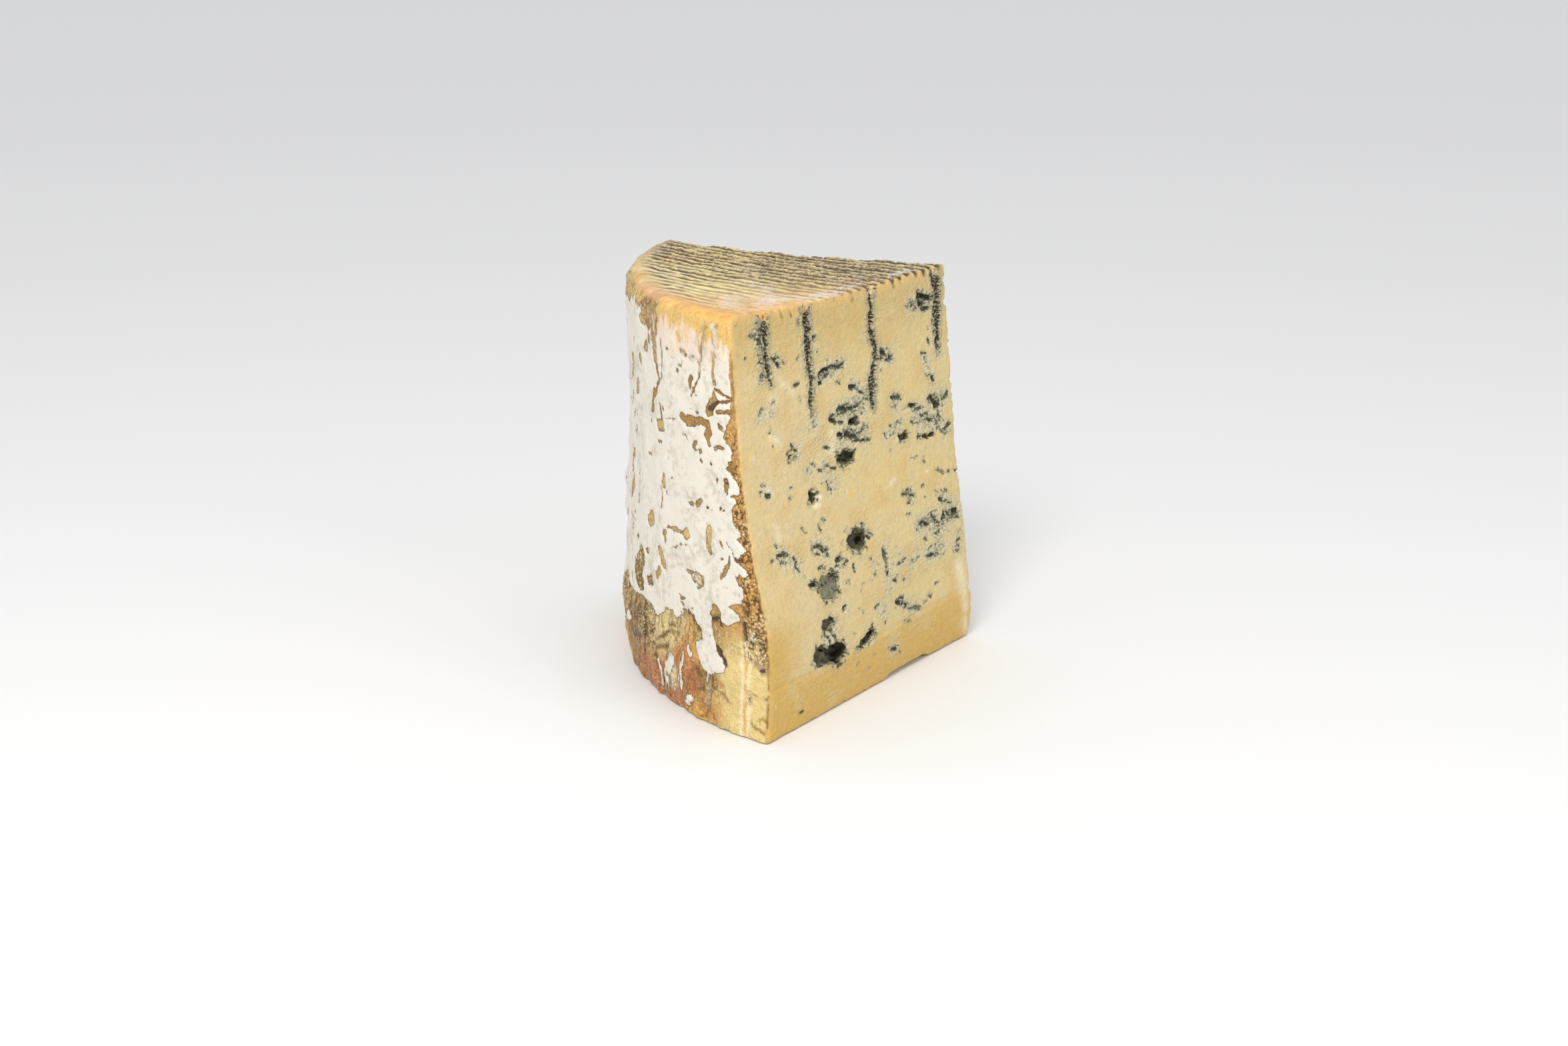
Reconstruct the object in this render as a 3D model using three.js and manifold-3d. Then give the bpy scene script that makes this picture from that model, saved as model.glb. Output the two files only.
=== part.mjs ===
// A wedge of blue cheese, cut from a drum-shaped wheel that stands on its flat side.
// Millimetres, +Z up. The wedge stands on z = 0, with the middle of its box over the origin.
// The wheel's axis is the wedge's tip. The front cut runs from it along -X, and faces -Y.
// An azimuth is measured round the tip, from the front cut (0) to the back cut (WEDGE_ANGLE).
import * as THREE from 'three';
import { mergeVertices } from 'three/addons/utils/BufferGeometryUtils.js';
import { ImprovedNoise } from 'three/addons/math/ImprovedNoise.js';
import Module from 'manifold-3d';

const wasm = await Module();
wasm.setup();

// ---- Driving dimensions ----
const WEDGE_ANGLE = THREE.MathUtils.degToRad(76);
const HEIGHT = 144;                 // the top's middle, above the foot
const RIM_RISE = 3.2;               // the dished top is this much higher at its rim
const DISH_STEEPNESS = 5;           // the higher, the closer to the rim the dish starts to rise
const TIP_RISE = 0.8;               // the top is this much higher at the wheel's centre
const TIP_RISE_REACH = 30;          // which fades away over about this distance
const SHOULDER_RADIUS = 9;          // the rounding from the top into the rind
const CORNER_SHOULDER_RADIUS = 4;   // the same, where the front cut crosses it
const FOOT_ROUNDING = 1.4;          // height of the small rounding round the foot
const FOOT_INSET = 0.98;            // how far the rounding pulls the foot's outline in
const TIP_FLAT = 2.6;               // the blunt tip's width, up to TIP_FLAT_TOP
const TIP_FLAT_TOP = 46;
const TIP_EDGE = 0.5;               // its width above TIP_FLAT_TOP
const WHEEL_AXIS = { x: 67, y: -63.8 };   // the tip, from the middle of the wedge's box

// How the wedge has settled: [height, size] stations, joined by smooth curves.
const TIP_LEAN = [[0, 0.6], [14, -0.9], [38, 1.3], [72, 6.4], [106, 9.2], [148, 12.8]];
const CORNER_LEAN = [[0, 0], [38, -0.4], [65, 6], [93, 11.2], [120, 14.2], [148, 16.2]];
const CORNER_RADIUS = [[0, 131.9], [40, 130.6], [80, 128.6], [148, 125.6]];
const RIND_RADIUS = [
  [0, 130.4], [7, 132.6], [21, 133.1], [36, 130.2], [58, 126.3], [85, 121.9], [115, 119.4], [148, 118],
];
const TIP_SLIP = 4;                 // how far the tip has slipped inwards at the top
const SETTLED_FROM = THREE.MathUtils.degToRad(48);  // the azimuth from which RIND_RADIUS holds

// The mat's print on the top: parallel ridges, square to the front cut.
const RIDGE_PITCH = 5;
const RIDGE_HEIGHT = 0.9;
const RIDGE_ANGLE = THREE.MathUtils.degToRad(89);
const RIDGES_FADE = 16;             // they start to fade this far from the rim
const RIDGES_END = 4;               // and are gone this far from it
const RIDGE_UNEVENNESS = 0.6;       // share by which a ridge's height varies
const RIDGE_VARIES = { columns: 5, rows: 6, pattern: 2.5 };  // how slowly, and after which pattern

// Surface unevenness: depth, spacing, and which pattern it takes
const RIND_RELIEF = { depth: 0.8, spacing: 9, pattern: 3 };
const FRONT_RELIEF = { depth: 0.28, spacing: 13, pattern: 5 };
const BACK_RELIEF = { depth: 0.28, spacing: 13, pattern: 7 };
const TOP_RELIEF = { depth: 0.45, spacing: 12, pattern: 11 };
const FINE_RELIEF = { closer: 2.3, share: 0.4 };    // smaller lumps on top of those
const RELIEF_FADE_COLUMNS = 2;      // a cut's relief grows over its first columns

// How finely the surfaces are divided
const RING_STEP = 6;
const CUT_COLUMNS = 15;
const RIND_COLUMNS = 30;
const TOP_ROW_STEP = 6;
const WELD = 1e-4;                  // corners closer than this are one
const BLOCK_MARGIN = 8;             // how far the block that shapes the top reaches past the sides

// Holes that show in the cuts: distance from the tip, height, width, height of the mouth, depth
const FRONT_HOLES = [
  [70.5, 87, 10, 5, 6], [71, 57.5, 9.5, 8.5, 8], [55, 46, 3, 9.5, 3], [91.5, 46, 12, 10.5, 7],
  [95.5, 33.5, 5.5, 5.5, 5], [94, 22, 20, 8.5, 11], [71, 20, 11, 4.5, 6], [34, 86.5, 8, 3.5, 3],
  [91, 78.5, 7, 5.5, 4], [7.5, 51.5, 8, 4, 3], [15.5, 134, 8, 5, 3], [47.5, 120, 4.5, 7, 3.5],
  [82.5, 53.5, 6.5, 3.5, 4], [61, 99, 5.5, 2.6, 3], [13, 96, 6, 3.6, 3], [116, 84.5, 4.5, 3, 2.5],
];
const BACK_HOLES = [
  [34, 96, 10, 6, 7], [58, 64, 14, 8, 9], [88, 84, 9, 5, 6], [101, 41, 12, 8, 8],
  [47, 31, 16, 7, 10], [76, 112, 7, 5, 5], [22, 52, 8, 6, 6], [84, 22, 9, 5, 6],
];
const HOLE_UNEVENNESS = 0.45;
const WIDE_HOLE = 8;                // holes wider than this are divided more finely
// Needle channels: distance from the tip at the top and at the lower end, height of that end
const CHANNEL_WIDTH = 3.2;
const CHANNEL_END_WIDTH = 1.6;
const CHANNEL_SUNK = 0.3;           // how far its middle lies behind the cut
const CHANNEL_WANDER = { size: 0.7, spacing: 6, pattern: 1.5 };
const CHANNEL_SIDES = 8;
const CHANNEL_STEPS = 9;
const FRONT_CHANNELS = [[109.5, 109, 121], [85.5, 87, 109], [48.5, 51, 103], [5.5, 9, 113]];
const BACK_CHANNELS = [[18, 19.5, 104], [48, 47, 92], [79, 80.5, 112], [108, 107, 99]];
// Crags of crust that stand out of the rind: azimuth in degrees, height, width, tallness, how proud
const CRAGS = [
  [3.5, 112, 5, 12, 1.4], [2.5, 100, 4, 16, 1.2], [3, 84, 4.5, 11, 1.3], [5.5, 62, 5, 16, 1.5],
  [4.5, 44, 5, 18, 1.7], [2.5, 27, 4.5, 17, 1.6], [22, 108, 12, 5, 0.9], [17, 104, 9, 4, 0.9],
  [50, 66, 6, 5, 2.2], [48, 57, 5, 5, 2], [43, 40, 9, 14, 1.1], [62, 90, 9, 6, 1.2],
  [69, 40, 8, 12, 1.4], [14, 139, 4, 9, 1],
];
const CRAG_UNEVENNESS = 0.35;
const CRAG_SUNK = 1.2;              // how far its middle lies under the rind
const LUMP_CLOSENESS = 1.7;         // how close the bumps on a hole or crag are
const PASTE_COLOUR = 0xd9c38a;

// ---- Small helpers ----
const noise = new ImprovedNoise();

function relief({ depth, spacing, pattern }, point) {
  const [x, y, z] = [point.x / spacing, point.y / spacing, point.z / spacing];
  const { closer, share } = FINE_RELIEF;
  const coarse = noise.noise(x + pattern, y, z);
  const fine = noise.noise(closer * x, closer * y + pattern, closer * z);
  return depth * (coarse + share * fine);
}

function stationCurve(stations) {
  const [heights, sizes] = [0, 1].map((part) => Float32Array.from(stations, (row) => row[part]));
  const curve = new THREE.CubicInterpolant(heights, sizes, 1);
  return (z) => curve.evaluate(THREE.MathUtils.clamp(z, heights[0], heights.at(-1)))[0];
}

// A rounding's depth at a distance past its start: an arc for its first 30 degrees, then straight.
const ARC = THREE.MathUtils.degToRad(30);
function rounding(past, radius) {
  if (past <= 0) return 0;
  const arcEnd = radius * Math.sin(ARC);
  if (past < arcEnd) return radius - Math.sqrt(radius ** 2 - past ** 2);
  return radius * (1 - Math.cos(ARC)) + (past - arcEnd) * Math.tan(ARC);
}

// ---- The wedge's outline, at any height ----
const tipLean = stationCurve(TIP_LEAN);
const cornerLean = stationCurve(CORNER_LEAN);
const cornerRadius = stationCurve(CORNER_RADIUS);
const rindRadius = stationCurve(RIND_RADIUS);

function tip(z) {
  return new THREE.Vector3(-TIP_SLIP * z / HEIGHT, tipLean(z), z);
}

// The front cut starts a little off azimuth 0 where the corner leans more than the tip.
function cornerAzimuth(z) {
  return Math.asin((cornerLean(z) - tipLean(z)) / cornerRadius(z));
}

function shoulderRadius(azimuth) {
  const share = THREE.MathUtils.smoothstep(azimuth, 0, SETTLED_FROM);
  return THREE.MathUtils.lerp(CORNER_SHOULDER_RADIUS, SHOULDER_RADIUS, share);
}

// The rind's distance from the tip, without its shoulder
function bareRadius(azimuth, z) {
  const share = THREE.MathUtils.smoothstep(azimuth, 0, SETTLED_FROM);
  return THREE.MathUtils.lerp(cornerRadius(z), rindRadius(z), share);
}

function radius(azimuth, z) {
  const round = shoulderRadius(azimuth);
  const inset = rounding(z - (HEIGHT + RIM_RISE - round), round);
  return bareRadius(azimuth, z) - inset;
}

function fromTip(azimuth, distance, z) {
  const [x, y] = [-Math.cos(azimuth) * distance, Math.sin(azimuth) * distance];
  return tip(z).add(new THREE.Vector3(x, y, 0));
}

function frontCutPoint(distance, z) {
  return fromTip(cornerAzimuth(z), distance, z);
}

function backCutPoint(distance, z) {
  return fromTip(WEDGE_ANGLE, distance, z);
}

const FRONT_NORMAL = new THREE.Vector3(0, -1, 0);
const BACK_NORMAL = new THREE.Vector3(Math.sin(WEDGE_ANGLE), Math.cos(WEDGE_ANGLE), 0);

// Pulls the outline in just above the foot, so that the foot's edge is a little round.
function footInset(z) {
  const past = FOOT_ROUNDING - z;
  return past <= 0 ? 0 : FOOT_INSET * (past / FOOT_ROUNDING) ** 2;
}

// One level ring, anticlockwise from above: back cut, rind, front cut.
function ring(z) {
  const points = [];
  const blunt = z < TIP_FLAT_TOP ? TIP_FLAT : TIP_EDGE;
  const inset = footInset(z);
  const fadeIn = (i) => Math.min(1, i / RELIEF_FADE_COLUMNS);
  const place = (point, normal, out) => points.push(point.addScaledVector(normal, out - inset));
  for (let i = 0; i < CUT_COLUMNS; i++) {
    const distance = THREE.MathUtils.lerp(blunt / 2, radius(WEDGE_ANGLE, z), i / CUT_COLUMNS);
    const point = backCutPoint(distance, z);
    place(point, BACK_NORMAL, relief(BACK_RELIEF, point) * fadeIn(i));
  }
  for (let i = 0; i < RIND_COLUMNS; i++) {
    const azimuth = THREE.MathUtils.lerp(WEDGE_ANGLE, cornerAzimuth(z), i / RIND_COLUMNS);
    const outward = new THREE.Vector3(-Math.cos(azimuth), Math.sin(azimuth), 0);
    const point = fromTip(azimuth, radius(azimuth, z), z);
    place(point, outward, relief(RIND_RELIEF, point));
  }
  for (let i = 0; i < CUT_COLUMNS; i++) {
    const distance = THREE.MathUtils.lerp(radius(cornerAzimuth(z), z), blunt / 2, i / CUT_COLUMNS);
    const point = frontCutPoint(distance, z);
    place(point, FRONT_NORMAL, relief(FRONT_RELIEF, point) * fadeIn(i));
  }
  return points.map((point) => point.setZ(z));
}

// ---- Solids ----
function solidFromTriangles(positions, triangles) {
  const vertProperties = Float32Array.from(positions);
  const triVerts = Uint32Array.from(triangles);
  return new wasm.Manifold(new wasm.Mesh({ numProp: 3, vertProperties, triVerts }));
}

function solidFromGeometry(geometry) {
  geometry.deleteAttribute('normal');
  geometry.deleteAttribute('uv');
  const merged = mergeVertices(geometry, WELD);
  return solidFromTriangles(merged.attributes.position.array, merged.index.array);
}

// The sides: level rings joined one above the other, and capped.
function sideSolid() {
  const heights = [0, FOOT_ROUNDING / 2, FOOT_ROUNDING];
  for (let z = RING_STEP; z < HEIGHT + RIM_RISE + 2 * RING_STEP; z += RING_STEP) heights.push(z);
  const rings = heights.map(ring);
  const count = rings[0].length;
  const triangles = [];
  for (let level = 0; level + 1 < rings.length; level++) {
    for (let i = 0; i < count; i++) {
      const [a, b] = [level * count + i, level * count + (i + 1) % count];
      triangles.push(a, b, b + count, a, b + count, a + count);
    }
  }
  const last = (rings.length - 1) * count;
  for (const [a, b, c] of THREE.ShapeUtils.triangulateShape(rings.at(-1), [])) {
    triangles.push(last + a, last + b, last + c);
  }
  for (const [a, b, c] of THREE.ShapeUtils.triangulateShape(rings[0], [])) {
    triangles.push(c, b, a);
  }
  return solidFromTriangles(rings.flat().flatMap((point) => point.toArray()), triangles);
}

// The top's height at a point: a dish with a high rim, a shoulder, and the mat's ridges.
function topHeight(x, y, ridge) {
  const centre = tip(HEIGHT);
  const [dx, dy] = [centre.x - x, y - centre.y];
  const distance = Math.hypot(dx, dy);
  const azimuth = THREE.MathUtils.clamp(Math.atan2(dy, dx), 0, WEDGE_ANGLE);
  const rim = bareRadius(azimuth, HEIGHT);
  const round = shoulderRadius(azimuth);
  const dish = RIM_RISE * Math.min(1, distance / rim) ** DISH_STEEPNESS;
  const middle = TIP_RISE * Math.exp(-((distance / TIP_RISE_REACH) ** 2));
  const fade = 1 - THREE.MathUtils.smoothstep(distance, rim - RIDGES_FADE, rim - RIDGES_END);
  const uneven = relief(TOP_RELIEF, { x, y, z: HEIGHT });
  return HEIGHT + dish + middle + uneven + ridge * fade - rounding(distance - (rim - round), round);
}

// A block under the top's surface, wider than the wedge. Its columns run along the ridges.
function topSolid() {
  const along = new THREE.Vector2(-Math.cos(RIDGE_ANGLE), Math.sin(RIDGE_ANGLE));
  const across = new THREE.Vector2(-along.y, along.x);
  const reach = bareRadius(0, 0) + 2 * BLOCK_MARGIN;
  const columns = 2 * Math.ceil(reach / RIDGE_PITCH);
  const rows = Math.ceil(reach / TOP_ROW_STEP);
  const start = new THREE.Vector2().addScaledVector(across, -BLOCK_MARGIN).addScaledVector(along, -BLOCK_MARGIN);
  const positions = [];
  for (let level = 0; level < 2; level++) {
    for (let column = 0; column <= columns; column++) {
      const crest = column % 2 ? RIDGE_HEIGHT / 2 : -RIDGE_HEIGHT / 2;
      for (let row = 0; row <= rows; row++) {
        const point = start.clone();
        point.addScaledVector(across, column * RIDGE_PITCH / 2).addScaledVector(along, row * TOP_ROW_STEP);
        const vary = noise.noise(column / RIDGE_VARIES.columns, row / RIDGE_VARIES.rows, RIDGE_VARIES.pattern);
        const ridge = crest * (1 + RIDGE_UNEVENNESS * vary);
        positions.push(point.x, point.y, level ? topHeight(point.x, point.y, ridge) : -BLOCK_MARGIN);
      }
    }
  }
  const at = (level, column, row) => (level * (columns + 1) + column) * (rows + 1) + row;
  const triangles = [];
  const quad = (a, b, c, d) => triangles.push(a, b, c, a, c, d);
  for (let column = 0; column < columns; column++) {
    for (let row = 0; row < rows; row++) {
      quad(at(1, column, row), at(1, column, row + 1), at(1, column + 1, row + 1), at(1, column + 1, row));
      quad(at(0, column, row), at(0, column + 1, row), at(0, column + 1, row + 1), at(0, column, row + 1));
    }
    quad(at(0, column, 0), at(1, column, 0), at(1, column + 1, 0), at(0, column + 1, 0));
    quad(at(0, column, rows), at(0, column + 1, rows), at(1, column + 1, rows), at(1, column, rows));
  }
  for (let row = 0; row < rows; row++) {
    quad(at(0, 0, row), at(0, 0, row + 1), at(1, 0, row + 1), at(1, 0, row));
    quad(at(0, columns, row), at(1, columns, row), at(1, columns, row + 1), at(0, columns, row + 1));
  }
  return solidFromTriangles(positions, triangles);
}

// An uneven ball, stretched to its three half-sizes and turned to face along a normal.
function lump(centre, normal, halfSizes, detail, unevenness) {
  const geometry = new THREE.IcosahedronGeometry(1, detail);
  const position = geometry.attributes.position;
  const point = new THREE.Vector3();
  const toFace = new THREE.Quaternion().setFromUnitVectors(new THREE.Vector3(0, -1, 0), normal);
  for (let i = 0; i < position.count; i++) {
    point.fromBufferAttribute(position, i);
    const ball = point.clone().multiplyScalar(LUMP_CLOSENESS);
    const swell = noise.noise(ball.x + centre.x, ball.y, ball.z + centre.z);
    point.multiplyScalar(1 + unevenness * swell).multiply(halfSizes);
    point.applyQuaternion(toFace).add(centre);
    position.setXYZ(i, point.x, point.y, point.z);
  }
  return solidFromGeometry(geometry);
}

function hole([distance, z, width, height, depth], onCut, normal) {
  const halfSizes = new THREE.Vector3(width / 2, depth, height / 2);
  return lump(onCut(distance, z), normal, halfSizes, width > WIDE_HOLE ? 2 : 1, HOLE_UNEVENNESS);
}

// The half of a needle's channel that the cut has laid open. It wanders a little on its way down.
function channel([topDistance, endDistance, endHeight], onCut, normal) {
  const top = HEIGHT + 2 * RIM_RISE;
  const [topRadius, endRadius] = [CHANNEL_WIDTH / 2, CHANNEL_END_WIDTH / 2];
  const geometry = new THREE.CylinderGeometry(topRadius, endRadius, 1, CHANNEL_SIDES, CHANNEL_STEPS);
  geometry.rotateX(Math.PI / 2);
  const position = geometry.attributes.position;
  const offset = new THREE.Vector3();
  for (let i = 0; i < position.count; i++) {
    const share = position.getZ(i) + 0.5;
    const z = THREE.MathUtils.lerp(endHeight, top, share);
    const { size, spacing, pattern } = CHANNEL_WANDER;
    const wander = size * noise.noise(topDistance, z / spacing, pattern);
    const centre = onCut(THREE.MathUtils.lerp(endDistance, topDistance, share) + wander, z);
    offset.set(position.getX(i), position.getY(i), 0);
    position.setXYZ(i, centre.x + offset.x, centre.y + offset.y, z);
  }
  return solidFromGeometry(geometry.translate(-CHANNEL_SUNK * normal.x, -CHANNEL_SUNK * normal.y, 0));
}

function crag([degrees, z, width, tallness, proud]) {
  const azimuth = THREE.MathUtils.degToRad(degrees);
  const outward = new THREE.Vector3(-Math.cos(azimuth), Math.sin(azimuth), 0);
  const sunk = fromTip(azimuth, radius(azimuth, z) - CRAG_SUNK, z);
  const halfSizes = new THREE.Vector3(width / 2, CRAG_SUNK + proud, tallness / 2);
  return lump(sunk, outward, halfSizes, 1, CRAG_UNEVENNESS);
}

function cheeseSolid() {
  let solid = sideSolid();
  for (const row of CRAGS) solid = solid.add(crag(row));
  solid = solid.intersect(topSolid());
  for (const row of FRONT_HOLES) solid = solid.subtract(hole(row, frontCutPoint, FRONT_NORMAL));
  for (const row of BACK_HOLES) solid = solid.subtract(hole(row, backCutPoint, BACK_NORMAL));
  for (const row of FRONT_CHANNELS) solid = solid.subtract(channel(row, frontCutPoint, FRONT_NORMAL));
  for (const row of BACK_CHANNELS) solid = solid.subtract(channel(row, backCutPoint, BACK_NORMAL));
  return solid;
}

// ---- The scene graph ----
function cheeseWedge() {
  const mesh = cheeseSolid().getMesh();
  const geometry = new THREE.BufferGeometry();
  geometry.setAttribute('position', new THREE.BufferAttribute(mesh.vertProperties, 3));
  geometry.setIndex(new THREE.BufferAttribute(mesh.triVerts, 1));
  geometry.computeVertexNormals();
  const material = new THREE.MeshStandardMaterial({ color: PASTE_COLOUR, roughness: 0.55, metalness: 0 });
  const wedge = new THREE.Mesh(geometry, material);
  wedge.name = 'cheese_wedge';
  wedge.position.set(WHEEL_AXIS.x, WHEEL_AXIS.y, 0);
  return wedge;
}

const blueCheese = new THREE.Group();
blueCheese.add(cheeseWedge());

export default blueCheese;
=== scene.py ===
import math

import bpy
import numpy as np
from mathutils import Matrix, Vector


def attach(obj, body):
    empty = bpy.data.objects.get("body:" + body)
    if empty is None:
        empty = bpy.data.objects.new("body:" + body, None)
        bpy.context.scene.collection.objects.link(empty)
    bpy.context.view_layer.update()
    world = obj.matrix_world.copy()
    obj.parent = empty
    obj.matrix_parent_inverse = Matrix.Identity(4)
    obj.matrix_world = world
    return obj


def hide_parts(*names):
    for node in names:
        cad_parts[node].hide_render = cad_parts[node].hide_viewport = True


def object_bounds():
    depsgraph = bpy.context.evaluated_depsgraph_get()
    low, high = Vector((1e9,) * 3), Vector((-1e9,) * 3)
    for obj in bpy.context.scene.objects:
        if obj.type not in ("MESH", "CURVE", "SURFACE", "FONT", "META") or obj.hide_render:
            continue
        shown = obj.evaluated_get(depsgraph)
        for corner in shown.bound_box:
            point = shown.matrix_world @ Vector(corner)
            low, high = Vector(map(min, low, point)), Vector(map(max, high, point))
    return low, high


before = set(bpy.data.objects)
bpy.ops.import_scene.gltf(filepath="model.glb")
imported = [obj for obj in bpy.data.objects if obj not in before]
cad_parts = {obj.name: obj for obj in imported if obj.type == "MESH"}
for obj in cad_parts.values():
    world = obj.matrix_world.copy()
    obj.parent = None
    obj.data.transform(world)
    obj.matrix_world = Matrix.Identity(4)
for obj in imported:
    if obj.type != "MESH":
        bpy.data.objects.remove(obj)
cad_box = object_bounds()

import openvdb
from mathutils import Vector

# A wedge of blue cheese. Lengths are millimetres in the wheel's frame (the wheel's axis is
# x = y = 0, the front cut runs from it along -X and faces -Y), until the mesh is placed.
# The last number of each call of noise is its seed.

# ---- The wedge's shape, as in the CAD part ----
WEDGE_ANGLE = math.radians(76)
HEIGHT = 144
RIM_RISE = 3.2
TIP_RISE = 0.8
TIP_RISE_REACH = 30
SHOULDER_RADIUS = 9
CORNER_SHOULDER_RADIUS = 4
TIP_SLIP = 4
WHEEL_AXIS = (67, -63.8)
# Rows of height and size
TIP_LEAN = [[0, 0.6], [14, -0.9], [38, 1.3], [72, 6.4], [106, 9.2], [148, 12.8]]
CORNER_LEAN = [[0, 0], [38, -0.4], [65, 6], [93, 11.2], [120, 14.2], [148, 16.2]]
CORNER_RADIUS = [[0, 131.9], [40, 130.6], [80, 128.6], [148, 125.6]]
RIND_RADIUS = [[0, 130.4], [7, 132.6], [21, 133.1], [36, 130.2], [58, 126.3], [85, 121.9],
               [115, 119.4], [148, 118]]
SETTLED_FROM = math.radians(48)
RIDGE_PITCH = 5
RIDGE_HEIGHT = 0.9
RIDGE_ANGLE = math.radians(89)
RIDGE_PHASE = 0.5
RIDGES_FADE = 16
LOW_CREASE = 19.5        # height of the crease along the foot of the cuts
RIND_TURN = 131          # millimetres round the rind per radian of azimuth
BLOOM_TOP = 139          # height that the white bloom fades out at
EDGE_ROUND = 0.7
FOOT_ROUND = 1.2
TIP_ROUND = 1.3          # below TIP_ROUND_TOP
SHARP_TIP_ROUND = 0.3
TIP_ROUND_TOP = 46

VOXEL = 0.64
TRIANGLES = 194000

# ---- Colours, sRGB 0-255 ----
PALETTE = {
    "paste": (213, 190, 132), "paste top": (198, 171, 109), "paste left": (212, 190, 138),
    "paste low": (202, 165, 84), "paste corner": (204, 166, 80), "deep": (198, 164, 98),
    "cream paste": (226, 208, 158), "rim": (128, 84, 34), "pale": (240, 231, 204), "chip": (226, 186, 86),
    "halo": (196, 191, 158), "butter": (221, 196, 130), "gold": (224, 184, 108), "honey": (214, 165, 84),
    "amber": (200, 151, 84), "orange": (196, 134, 76), "rust": (182, 116, 66), "pink": (186, 122, 74),
    "ochre": (204, 170, 104), "olive": (172, 146, 88), "brown": (160, 122, 60), "dark": (96, 78, 44),
    "tan": (210, 182, 124), "drab": (184, 158, 112), "grey tan": (176, 154, 116), "straw": (222, 198, 138),
    "crest": (224, 202, 144), "gold top": (228, 174, 92), "rose": (214, 160, 108), "peach": (228, 190, 134),
    "pink tan": (206, 164, 118), "cream": (238, 222, 178), "dark line": (104, 70, 28), "umber": (112, 80, 36),
    "pale olive": (222, 200, 140), "mould": (92, 94, 66), "grey mould": (150, 149, 128),
    # The black is mould colour and painted shade for deep holes, crevices and needle channels.
    "black mould and shade": (30, 29, 20), "wall": (66, 68, 50), "pale wall": (122, 123, 102), "rung": (184, 172, 144),
    # The top's furrow colour is darker brown and painted shade; the lit crest colour is a painted highlight.
    "furrow": (70, 55, 31), "lit crest": (236, 220, 168), "bark": (122, 80, 30), "crack": (84, 58, 30),
    # The glint colour is a painted highlight.
    "glint": (246, 226, 168), "lip": (226, 216, 180), "flake": (232, 226, 204), "wisp": (228, 217, 208),
    "blush": (232, 196, 172), "white": (225, 219, 205), "shade": (200, 191, 174),
}


def linear(name):
    """A palette colour in linear light."""
    value = np.array(PALETTE[name]) / 255
    return np.where(value <= 0.04045, value / 12.92, ((value + 0.055) / 1.055) ** 2.4)


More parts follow.
